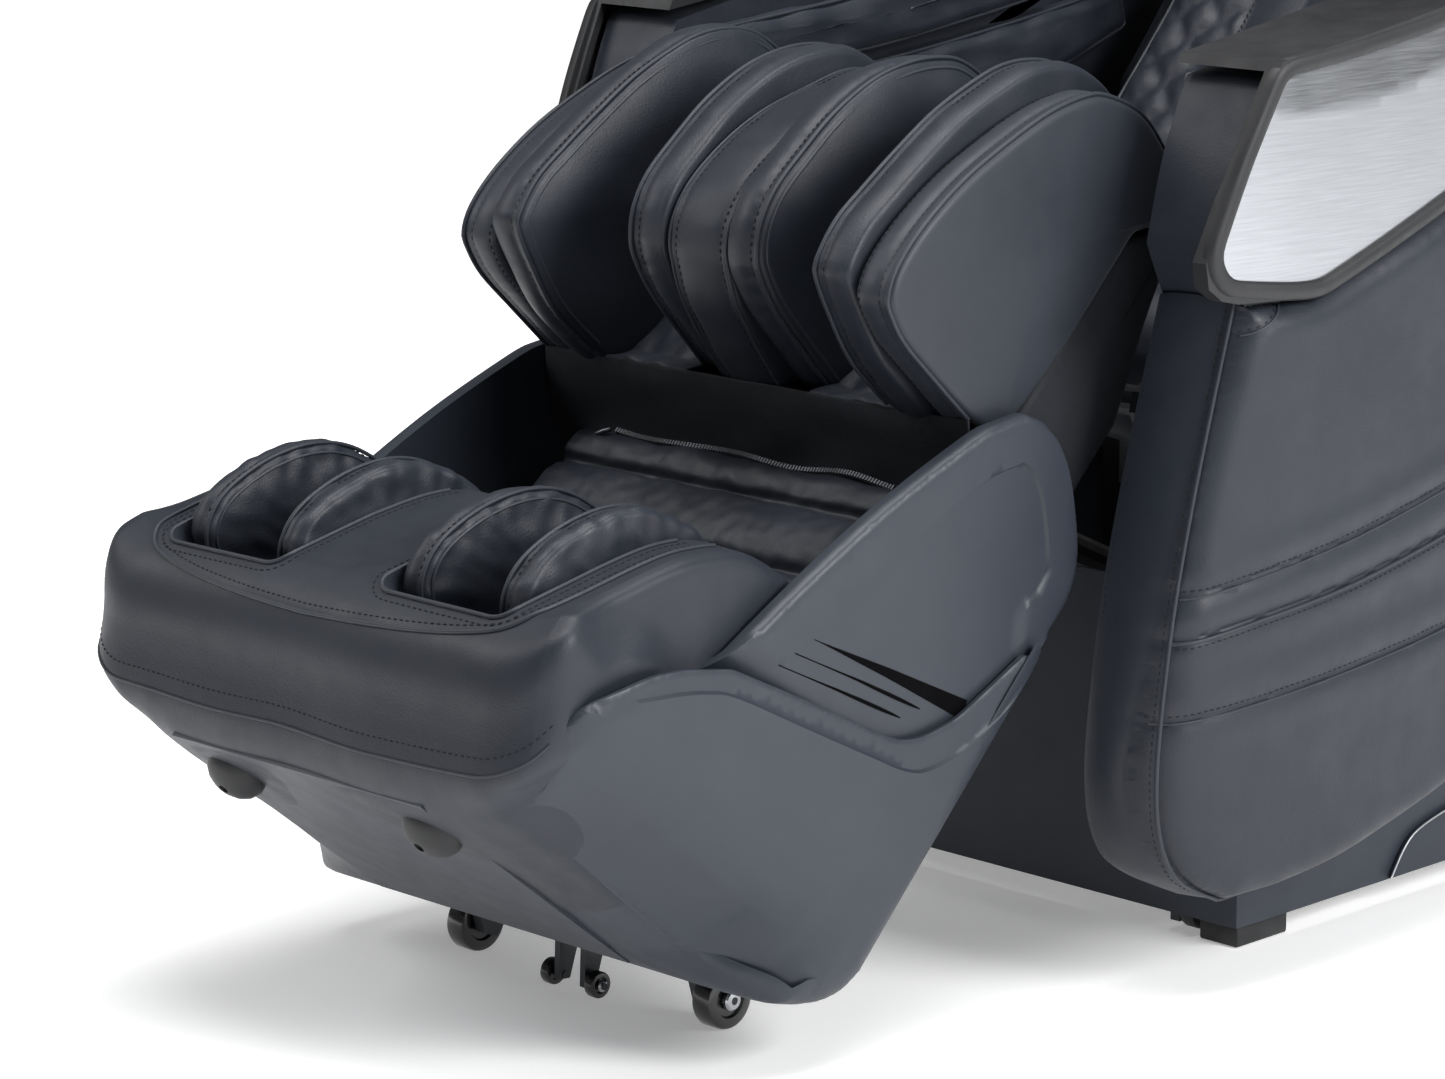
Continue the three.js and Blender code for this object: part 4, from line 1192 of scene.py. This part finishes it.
def build_foot_pads(side, name):
    """The two pads inside a foot well and the lining under the heel."""
    loop = leg(LOBE + LOBE_TOP + [(380, 145)])
    arch = even(leg(LOBE_TOP), 90)
    closed = np.array(loop)
    x, y = closed[:, 0], closed[:, 1]
    if np.dot(x, np.roll(y, -1)) - np.dot(y, np.roll(x, -1)) < 0:
        arch = arch[::-1]
    for inner, outer, well, label in ((59, 86, 86, "inner"), (168, 195, 168, "outer")):
        away = 1 if well == outer else -1
        spots = [(7, 0.4), (9.5, -0.9), (13, 1.2), (18, 2.0), (22, 0.6)]
        wall = mirrored(sorted([(well - away * d, out) for d, out in spots]), side)
        crown = (2, 9) if away > 0 else (9, 2)
        x0, x1 = reach(side, inner, outer)
        made = side_pad(f"foot_pad_{label}_{name}", loop, x0, x1, wall, "leather", "foot_section",
                        "leather", radius=5, crown=pair(side, crown), soft=0.7,
                        stands_for=[f"foot_pads_{name}"] if label == "inner" else ())
        wrinkle(made, 2.2, (25, 70, 70), seed=well * 0.3 + side)
        seam(f"foot_pad_{label}_{name}_piping", arch, side * (well - away * 3.5), 0.8, "foot_section",
             radius=1.7)
        seam(f"foot_pad_{label}_{name}_piping_b", arch, side * (well + away * 0.2), -6.5, "foot_section",
             radius=1.3)
        stitches(f"foot_pad_{label}_{name}_stitch", edge_path(arch, side * (well - away * 9.5), -0.3),
                 "foot_section")
    bed = leg([(402, 147), (558, 147), (558, 160), (402, 160)])
    plate(f"foot_heel_{name}", bed, *reach(side, 66, 188), "lining", "foot_section", "leather", edge=4)


def build_bumpers():
    """The two round rubber stops on the front of the foot section."""
    for side, name in ((1, "right"), (-1, "left")):
        y, z = leg([(675, 335)])[0]
        centre = world(side * 115, y, z)
        aim_y, aim_z = leg([(676, 335.095)])[0]
        axis = (world(side * 115, aim_y, aim_z) - centre).normalized()
        profile = [(0.01, -4), (25, -4), (25.5, 0), (24.2, 3), (22, 7.5), (17, 12), (10, 15.2),
                   (4.4, 16.4), (4, 13), (0.01, 13)]
        revolve(f"foot_bumper_{name}_cap", profile, centre, axis, "rubber", "foot_section", "rubber",
                sides=48, smoothing=50, stands_for=[f"foot_bumper_{name}"])


# ---------------------------------------------------------------- wheels


def wheel_piece(name, node_name, body, radius, half, x, y, z, look, hub):
    """A wheel of half width half on its own body, with rounded tread edges and a hub hole."""
    rim = radius * 0.12
    tread = [(radius * 0.62, -half), (radius - rim, -half), (radius - rim * 0.3, -half + rim * 0.3),
             (radius, -half + rim), (radius, half - rim), (radius - rim * 0.3, half - rim * 0.3),
             (radius - rim, half), (radius * 0.62, half), (radius * 0.56, half - 2.5), (hub, half - 2.5),
             (hub, 2.5 - half), (radius * 0.56, 2.5 - half)]
    centre = world(x, y, z)
    revolve(f"{name}_tread", tread, centre, (1, 0, 0), look, body, "rubber", sides=56, smoothing=30,
            stands_for=[node_name])


def build_casters():
    """The casters, the small rollers and the transport wheels, each turning on its own body."""
    for side, name in ((1, "right"), (-1, "left")):
        wheel_piece(f"caster_{name}", f"caster_wheel_{name}", f"caster_{name}", 24.5, 10, side * 145, -800,
                    24.5, "tread", 5.4)
        cap = [(0.01, 0), (7.5, 0), (8.5, 1), (8.5, 4), (7, 5.6), (3.2, 6), (3, 4.2), (0.01, 4.2)]
        revolve(f"caster_bolt_{name}", cap, world(side * 153.5, -800, 24.5), (side, 0, 0), "bright_steel",
                "foot_section", "steel", sides=28)
        y, z = leg([(636, 18)])[0]
        wheel_piece(f"small_roller_{name}_wheel", f"small_roller_{name}", f"small_roller_{name}", 11, 4.5,
                    side * 26, y, z, "tread", 3.4)
        revolve(f"small_roller_bolt_{name}", [(0.01, 0), (4.6, 0), (5, 2), (3.4, 3.4), (0.01, 3.6)],
                world(side * 30.5, y, z), (side, 0, 0), "bright_steel", "foot_section", "steel", sides=20)
        wheel_piece(f"transport_{name}", f"transport_wheel_{name}", f"transport_wheel_{name}", 17, 7.5,
                    side * 246.5, -334, 20, "rubber", 4.9)


# ---------------------------------------------------------------- arms

ARM_PLAN = curve([(330, -545), (366, -520), (386, -450), (396, -330), (400, -120), (398, 60), (380, 200),
                  (345, 290)], 60)
ARM_LEATHER = curve([(-452, 562), (-499, 402), (-523, 292), (-534, 178), (-512, 112), (-455, 79)], 40)
ARM_LEATHER += curve([(-400, 80), (-309, 94), (-181, 129), (0, 200), (120, 270), (230, 370)], 40)
ARM_LEATHER += curve([(275, 480), (282, 600), (236, 780)], 20)
ARM_LEATHER += curve([(200, 790), (100, 750), (-50, 687), (-203, 625), (-352, 571), (-400, 562)], 40)
ARM_PANEL = curve([(-424, 741), (-460, 672), (-488, 604)], 20)
ARM_PANEL += curve([(-478, 584), (-392, 575), (-352, 584), (-203, 638), (-50, 700), (100, 763),
                    (196, 800)], 50)
ARM_PANEL += curve([(190, 812), (100, 806), (-50, 793), (-197, 774), (-260, 763), (-350, 750)], 40)
SEWN_LINES = [
    curve([(-560, 328), (-548, 332), (-450, 346), (-320, 366), (-196, 393), (-60, 430), (80, 480),
           (262, 560)], 60),
    curve([(-570, 294), (-553, 297), (-450, 311), (-320, 328), (-194, 354), (-60, 390), (80, 436),
           (266, 520)], 60),
    curve([(-580, 231), (-569, 234), (-450, 244), (-320, 256), (-189, 273), (-60, 300), (60, 335),
           (200, 390)], 60),
]
CAP_SEAM = curve([(-546, 541), (-519, 536), (-476, 534), (-440, 545), (-410, 563), (-380, 585)], 40)


def plan_x(ys):
    """How far out the arm's side is at each Y."""
    plan = np.array(ARM_PLAN, float)
    return np.interp(ys, plan[:, 1], plan[:, 0])


def build_arm(side, name):
    """The leather side of an arm, with its sewn bands, the corner patch and the front strip."""
    loop = left_turning(ARM_LEATHER)

    def face(points):
        rim = distance_to(loop, points)
        x = plan_x(points[:, 0]) - rounding(rim, 22)
        first, second, third = (distance_to(line, points, closed=False) for line in SEWN_LINES)
        x -= 2.6 * bell(first, 3.5) + 2.6 * bell(second, 3.5) + 2.6 * bell(third, 3.5)
        x += 2.2 * bell(first - 16, 11) + 1.6 * bell(second - 14, 10) + 1.8 * bell(third - 18, 13)
        cap = distance_to(CAP_SEAM, points, closed=False)
        x -= 1.6 * bell(cap, 3.5)
        soft = [noise.noise(Vector((y * 0.011, z * 0.011, 3.0 + side))) for y, z in points]
        puckers = [noise.noise(Vector((y * 0.075, z * 0.02, 9.0 + side))) for y, z in points]
        x += 2.0 * np.array(soft)
        x += 1.8 * np.array(puckers) * (bell(cap, 16) + 0.35 * bell(first, 9) + 0.35 * bell(third, 9))
        return side * x

    lines = [even(line, 140) for line in SEWN_LINES] + [even(CAP_SEAM, 40)]
    wall = ((0.06, 1.2), (0.2, 3.2), (0.5, 5.0), (0.8, 3.2), (0.94, 1.2))
    made = relief_plate(f"arm_{name}_leather", loop, side * 288.5, face, "leather", "base", "leather",
                        lines=lines, grid=7, wall=wall, smoothing=75, stands_for=[f"arm_body_{name}"],
                        soft=0.85)
    cutter = box_tool(*reach(side, 280, 308.2), [(-364, -5), (300, -5), (300, 320), (-364, 320)])
    subtract(made, cutter)
    shade(made, 55)

    def on_face(line, lift):
        ok = line_inside(line, loop, 1.0)
        return [world(x + side * lift, y, z) for (y, z), x in zip(ok, face(ok))]

    for number, line in enumerate(SEWN_LINES):
        path = even(line, 200)
        tube(f"arm_{name}_seam_{number}", on_face(path - [0, 3.4], 0.1), 1.7 if number == 1 else 1.0,
             "smooth_leather", "base", "leather")
        shift = -7.5 if number == 1 else 2.4
        stitches(f"arm_{name}_stitch_{number}", on_face(path + [0, shift], 0.2), "base")
    stitches(f"arm_{name}_cap_stitch", on_face(even(CAP_SEAM, 60) + [0, 3.0], 0.2), "base")
    cap_line = on_face(even(CAP_SEAM, 60), 0.2)
    tube(f"arm_{name}_cap_seam", cap_line, 1.2, "smooth_leather", "base", "leather")
    strip = even(ARM_LEATHER[:46], 120)  # the front edge, from under the cap to the lower corner
    for label, x, out in (("a", 294, 1.4), ("b", 358, 2.3)):
        stitches(f"arm_{name}_front_{label}", edge_path(strip, side * x, out), "base")
    welt = edge_path(strip, side * 364, 1.3)
    tube(f"arm_{name}_front_welt", welt, 1.9, "smooth_leather", "base", "leather")
    build_arm_core(side, name)
    build_arm_panel(side, name)


def build_arm_core(side, name):
    """The padded body of the arm behind the silver panel."""
    core = [(-444, 552)] + curve([(-470, 604), (-452, 672), (-424, 734)], 12)
    core += curve([(-350, 748.5), (-260, 762.5), (-197, 773.5), (-50, 792.5), (100, 805.5),
                   (198, 808)], 24)
    core += curve([(204, 780), (100, 735), (-50, 675), (-203, 612), (-352, 558)], 20)

    def face(points):
        return side * (plan_x(points[:, 0]) - 15.5)

    relief_plate(f"arm_{name}_core", core, side * 288.5, face, "leather", "base", "leather", grid=14,
                 wall=((0.5, 1.0),), smoothing=50)


def build_arm_panel(side, name):
    """The brushed panel, creased along its top, in a rubber gasket."""
    loop = left_turning(ARM_PANEL)
    fold = [(-470, 722), (-455, 717), (-395, 711), (-293, 719), (-208, 740), (-100, 762), (60, 788)]
    fold = np.array(fold, float)

    def face(points):
        crease = np.interp(points[:, 0], fold[:, 0], fold[:, 1])
        above = np.maximum(points[:, 1] - crease, 0)
        return side * (plan_x(points[:, 0]) - 3.2 - above * 0.16)

    relief_plate(f"arm_{name}_silver", loop, lambda points: face(points) - side * 5.5, face, "brushed",
                 "base", "brushed", lines=[even(curve(fold, 40), 80)], grid=10, smoothing=60,
                 stands_for=[f"arm_panel_{name}"])
    gasket(f"arm_{name}_gasket", loop, side)


def gasket(name, loop, side):
    """A rubber rim round the silver panel."""
    loop = even(loop, 260, closed=True)
    loop = smooth(loop, 3)
    section = [(-1.5, -6), (-1.5, 1.0), (0.5, 2.8), (5, 3.4), (10.5, 2.6), (13, 0.2), (13, -8)]
    xs = plan_x(loop[:, 0])
    vertices = []
    for k, base in enumerate(loop):
        for a, b in section:
            y, z = outward(loop[[k - 1, k, (k + 1) % len(loop)]], a, False)[1]
            vertices.append(world(side * (xs[k] - 2.0 + b), y, z))
    n = len(section)
    faces = []
    for k in range(len(loop)):
        m = (k + 1) % len(loop)
        for i in range(n):
            j = (i + 1) % n
            faces.append((k * n + i, k * n + j, m * n + j, m * n + i))
    return make_piece(name, vertices, faces, "rubber", "base", "black_plastic", smoothing=55)


def build_side_cushions(side, name):
    """The pads inside the arm: one beside the forearm and one beside the hip."""
    arm = curve([(-395, 700), (-240, 694), (-60, 715), (40, 731)], 30)
    arm += curve([(44, 768), (-60, 760), (-240, 742), (-390, 728)], 30)
    hip = curve([(-310, 560), (-180, 590), (-60, 622), (50, 656), (150, 690)], 30)
    hip += curve([(140, 728), (0, 706), (-200, 682), (-330, 680)], 30)
    for label, outline, x0 in (("arm_pad", arm, 254), ("hip_pad", hip, 255)):
        lo, hi = reach(side, x0, 286)
        wall = mirrored([(x0 + 10, 0.5), (x0 + 15, 1.5), (x0 + 20, 1)], side)
        made = side_pad(f"{label}_{name}_cushion", outline, lo, hi, wall, "leather", "base", "leather",
                        radius=9, crown=pair(side, (1, 0)), stands_for=[f"{label}_{name}"], soft=0.7)
        wrinkle(made, 3.0, (25, 22, 40), seed=x0 * 0.3 + side)
        ring = even(left_turning(outline), 160, closed=True)
        seam(f"{label}_{name}_piping", ring, side * (x0 + 6), 0.4, "base", radius=1.7, closed=True)


# ---------------------------------------------------------------- seat and back

BACK_FRONT = [(-20, 535), (50, 610), (149, 718), (230, 820), (300, 930), (350, 1040), (385, 1130),
              (400, 1180)]


def back_line(distance, steps=80):
    """The side line of the back's face, moved forward or backward by a distance."""
    line = even(curve(BACK_FRONT, 80), steps)
    along = np.gradient(line, axis=0)
    along /= np.linalg.norm(along, axis=1)[:, None]
    return line + np.stack([along[:, 1], -along[:, 0]], 1) * distance


def build_seat():
    """The seat cushion, swollen as filled cloth."""
    outline = [(-322, 409), (-32, 409), (-32, 495), (-52, 512)]
    outline += curve([(-120, 511), (-240, 517), (-298, 512), (-322, 479)], 24)
    wall = [(-204, 0), (-190, 3), (-150, 7), (-105, 5), (-100, 1), (-95, 5), (-50, 10), (0, 12), (50, 10),
            (95, 5), (100, 1), (105, 5), (150, 7), (190, 3), (204, 0)]
    made = side_pad("seat_leather", outline, -213, 213, wall, "leather", "base", "leather", radius=14,
                    crown=(1, 1), stands_for=["seat_cushion"], soft=0.8, fine=0)
    inflate(made, voxel=6, cap=6)
    wrinkle(made, 4.0, (18, 18, 18), seed=7.0)


def build_back():
    """The back cushion with its quilted sides, and the two wings beside the shoulders."""
    outline = np.vstack([back_line(6), back_line(64)[::-1]])
    xs = np.linspace(-198, 198, 100)
    wall = [(x, 0.0) for x in xs]
    made = side_pad("back_leather", outline, -209, 209, wall, "leather", "backrest", "leather", radius=11,
                    crown=(1, 1), count=260, fine=0, stands_for=["back_cushion"], soft=0.75)
    front = np.array(back_line(6, 200))
    steps = np.linalg.norm(np.diff(front, axis=0), axis=1)
    along = np.concatenate([[0], np.cumsum(steps)])

    def height(x, y, z):
        d = np.hypot(front[:, 0] - y, front[:, 1] - z)
        k = int(np.argmin(d))
        if d[k] > 14:
            return 0.0
        s = along[k]
        a = abs(x)
        puff = 6.0 * math.cos(min(a, 50) / 50 * math.pi / 2) ** 0.6 if a < 50 else 0.0
        puff += 4.0 * math.sin(math.pi * (a - 50) / 60) if 50 < a < 110 else 0.0
        if 110 < a < 205:
            u, w = (a - 110 + s) / 52, (a - 110 - s) / 52
            ridge = min(abs(u - round(u)), abs(w - round(w)))
            puff += 5.0 * min(1.0, ridge / 0.28) * min(1.0, (a - 110) / 8) * min(1.0, (205 - a) / 8)
        return puff

    press(made, height)
    wrinkle(made, 3.0, (14, 14, 14), seed=4.4)
    for side, name in ((1, "right"), (-1, "left")):
        line = np.array(back_line(6))[::-1]
        seam(f"back_{name}_piping", line, side * 204, 1.0, "backrest", radius=1.9)
        stitches(f"back_{name}_stitch", edge_path(line, side * 111, 0.6), "backrest")
    wings = curve([(72, 790), (112, 880), (175, 985), (262, 1090), (345, 1150)], 30)
    wings += curve([(412, 1165), (425, 1100), (380, 990), (320, 880), (240, 790), (170, 745),
                    (105, 745)], 40)
    for side, name in ((1, "right"), (-1, "left")):
        lo, hi = reach(side, 215, 268)
        wall = mirrored([(230, 1), (242, 3), (254, 1)], side)
        made = side_pad(f"side_wing_{name}_leather", wings, lo, hi, wall, "leather", "backrest", "leather",
                        radius=13, crown=pair(side, (7, 3)), stands_for=[f"side_wing_{name}"], soft=0.7)
        wrinkle(made, 4.0, (16, 16, 16), seed=side * 2.0)
        ring = even(left_turning(wings), 200, closed=True)
        seam(f"side_wing_{name}_piping", ring, side * 224, 0.4, "backrest", radius=1.9, closed=True)


def build_back_shell():
    """The rear skin of the back and its two rounded sides."""
    rear = curve([(150, 505), (170, 455), (280, 470), (390, 600), (480, 800)], 60)
    rear += curve([(520, 900), (552, 1010), (568, 1130), (545, 1215), (480, 1250), (425, 1225)], 60)
    rear = smooth(even(rear, 140), 4, closed=False)
    loop = left_turning(np.vstack([rear, back_line(70, 40)[::-1][:30]]))
    strip_sheet("back_shell_skin", rear[::-1], np.linspace(-252, 252, 12), 8, "shell", "backrest", "shell",
                stands_for=["back_shell"])
    for side, name in ((1, "right"), (-1, "left")):

        def face(points):
            return side * (280 - rounding(distance_to(rear, points, closed=False), 30))

        relief_plate(f"back_shell_side_{name}", loop, lambda points: face(points) - side * 8, face,
                     "shell", "backrest", "shell", grid=14, smoothing=50)


def build_pillow():
    """The head pillow: the CAD pillow made slightly smaller and swollen as filled cloth."""
    low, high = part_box("head_pillow")
    box = frame["nodes"]["head_pillow"]
    made = box.copy()
    made.data = box.data.copy()
    made.name = "head_pillow_leather"
    made.parent = None
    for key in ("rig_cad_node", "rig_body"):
        if key in made:
            del made[key]
    bpy.context.collection.objects.link(made)
    middle = (low + high) / 2
    for v in made.data.vertices:
        v.co = middle + (v.co - middle) * 0.93
    made.data.materials.clear()
    made.data.materials.append(materials["leather"])
    inflate(made, voxel=5, cap=10)
    shade(made, 70)
    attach(made, "head_cushion")
    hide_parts("head_pillow")


# ---------------------------------------------------------------- base


def build_base():
    """The rear covers with their silver edges, the front feet and the screws of the base."""
    for side, name in ((1, "right"), (-1, "left")):
        cover = curve([(-156, 22), (-125, 56), (-60, 72)], 16)
        cover += curve([(20, 90), (130, 130), (248, 190)], 16)
        cover += [(248, 22)]
        plate(f"rear_cover_{name}", cover, *reach(side, 308.6, 314), "shell", "base", "shell", edge=1.6,
              stands_for=[f"rear_side_cover_{name}"])
        line = edge_path(cover[:-2], side * 313.2, 0.0)
        tube(f"rear_cover_edge_{name}", line, 0.9, "silver_paint", "base", "shell")
        foot = [(-352, 0.2), (-285, 0.2), (-285, 19.3), (-352, 19.3)]
        plate(f"base_foot_{name}_block", foot, *reach(side, 262, 303), "rubber", "base", "rubber", edge=2.5,
              stands_for=[f"base_foot_{name}"])
        bolt = [(0.01, 0), (8, 0), (9, 1.5), (9, 4), (5, 5), (0.01, 5)]
        revolve(f"base_screw_{name}", bolt, world(side * 200, -359.5, 60), (0, -1, 0), "steel", "base",
                "steel", sides=24)


def dress_cad_nodes():
    """The hard parts keep their CAD meshes, with softened edges and better surfaces."""
    looks = {
        "base_frame": ("steel", 1.2), "knee_pin": ("bright_steel", 0.6), "base_cover": ("base_shell", 1.5),
        "control_box": ("black_plastic", 1.5), "power_switch": ("black_plastic", 0.8),
        "air_pump": ("steel", 1.5),
        "arm_rim_left": ("rubber", 1.0), "arm_rim_right": ("rubber", 1.0),
        "remote_stand": ("black_plastic", 1.2), "remote_tablet": ("black_plastic", 2.5),
        "back_track": ("steel", 1.2), "massage_carriage": ("steel", 1.5),
        "kneading_wheel_left": ("rubber", 1.0), "kneading_wheel_right": ("rubber", 1.0),
        "back_actuator": ("steel", 1.0), "back_rod": ("bright_steel", 0.6), "leg_actuator": ("steel", 1.0),
        "leg_rod": ("bright_steel", 0.6), "leg_frame": ("steel", 1.0), "foot_frame": ("steel", 1.0),
        "sole_roller": ("rubber", 0.8),
    }
    for name, (look, width) in looks.items():
        made = frame["nodes"][name]
        made.data.materials.clear()
        made.data.materials.append(materials[look])
        made.data.polygons.foreach_set("use_smooth", [True] * len(made.data.polygons))
        made.data.set_sharp_from_angle(angle=math.radians(35))
        bevel(made, width, segments=2)


def build_tablet_screen():
    """The dark glass on the front of the remote."""
    low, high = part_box("remote_tablet")
    middle = (low + high) / 2
    right = Vector((S45, S45, 0))
    front = Vector((S45, -S45, 0))
    vertices = []
    loop = rounded_box(-76, 76, -48, 48, 5)
    for depth in (4.6, 5.9):
        for a, b in loop:
            vertices.append(middle + (right * a + front * depth + Vector((0, 0, 1)) * b) * MM)
    make_piece("remote_glass", vertices, ring_faces(2, len(loop)), "screen", "remote_screen",
               "black_plastic")


# ---------------------------------------------------------------- stage


def build_stage():
    """A white floor that glows away from the chair, under a dim white sky."""
    mesh = bpy.data.meshes.new("floor")
    mesh.from_pydata([(-14, -14, 0), (14, -14, 0), (14, 14, 0), (-14, 14, 0)], [], [(0, 1, 2, 3)])
    floor = bpy.data.objects.new("floor", mesh)
    bpy.context.collection.objects.link(floor)
    look = bpy.data.materials.new("floor")
    look.use_nodes = True
    tree = look.node_tree
    shader = tree.nodes["Principled BSDF"]
    drift = node(tree, "ShaderNodeTexNoise", Scale=0.6)
    tree.links.new(ramp(tree, drift.outputs[0], grey(0.93), grey(0.96)), shader.inputs["Base Color"])
    shader.inputs["Roughness"].default_value = 0.9
    shader.inputs["Emission Color"].default_value = (1, 1, 1, 1)
    near = node(tree, "ShaderNodeTexGradient", gradient_type="SPHERICAL")
    spread = node(tree, "ShaderNodeMapping")
    spread.inputs["Scale"].default_value = (0.42, 0.42, 0.42)
    place = tree.nodes.new("ShaderNodeTexCoord")
    tree.links.new(place.outputs["Object"], spread.inputs["Vector"])
    tree.links.new(spread.outputs["Vector"], near.inputs["Vector"])
    tree.links.new(ramp(tree, near.outputs[0], grey(0.9), grey(0.27), 0.1, 0.75),
                   shader.inputs["Emission Strength"])
    mesh.materials.append(look)
    world_look = bpy.data.worlds.new("studio")
    world_look.use_nodes = True
    sky = world_look.node_tree.nodes["Background"]
    sky.inputs["Color"].default_value = (1, 1, 1, 1)
    sky.inputs["Strength"].default_value = 0.12
    bpy.context.scene.world = world_look


def area_light(name, place, aim, size, power):
    """A soft rectangular light turned towards a point."""
    data = bpy.data.lights.new(name, "AREA")
    data.shape = "RECTANGLE"
    data.size, data.size_y = size
    data.energy = power
    made = bpy.data.objects.new(name, data)
    bpy.context.collection.objects.link(made)
    made.location = place
    made.rotation_euler = (Vector(aim) - Vector(place)).to_track_quat("-Z", "Y").to_euler()


def build_lights():
    """A large light from the right, a weak one from the left and one overhead."""
    target = (0, -0.3, 0.45)
    area_light("key", (3.6, 0.3, 2.3), target, (1.8, 1.8), 175)
    area_light("fill", (-2.4, -2.2, 2.6), target, (1.8, 1.6), 38)
    area_light("top", (0.2, -0.4, 3.4), target, (2.8, 1.8), 120)


def build_camera():
    """A long lens from the front right, a little above the seat."""
    azimuth, elevation = math.radians(45.118), math.radians(12.318)
    forward = Vector((-math.sin(azimuth) * math.cos(elevation), math.cos(azimuth) * math.cos(elevation),
                      -math.sin(elevation)))
    data = bpy.data.cameras.new("camera")
    data.lens = 114.6
    data.sensor_width = 36
    made = bpy.data.objects.new("camera", data)
    bpy.context.collection.objects.link(made)
    made.location = (2.600, -3.244 + SHIFT * MM, 1.150)
    made.rotation_euler = forward.to_track_quat("-Z", "Y").to_euler()
    bpy.context.scene.camera = made
    bpy.context.scene.view_settings.view_transform = "Standard"


def build_leg_rest():
    """Everything that lifts with the calves."""
    for side, name in ((1, "right"), (-1, "left")):
        build_calf_wing(side, name)
        made = build_calf_cushion(side, name, CALF_OUTER, 165.5, 203.5, 165.5, "outer")
        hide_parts(f"calf_pads_{name}")
        build_calf_cushion(side, name, CALF_INNER, 36.5, 76, 76, "inner")
        build_calf_cover(side, name)
    build_calf_divider()
    build_well_floors()
    build_liner()
    build_bellows()


def build_foot_section():
    """Everything that slides with the feet."""
    build_foot_shell()
    build_foot_box()
    for side, name in ((1, "right"), (-1, "left")):
        build_foot_pads(side, name)
    build_bumpers()
    build_casters()


make_materials()
dress_cad_nodes()
build_leg_rest()
build_foot_section()
for side, name in ((1, "right"), (-1, "left")):
    build_arm(side, name)
    build_side_cushions(side, name)
build_seat()
build_back()
build_back_shell()
build_pillow()
build_base()
build_tablet_screen()
build_stage()
build_lights()
build_camera()
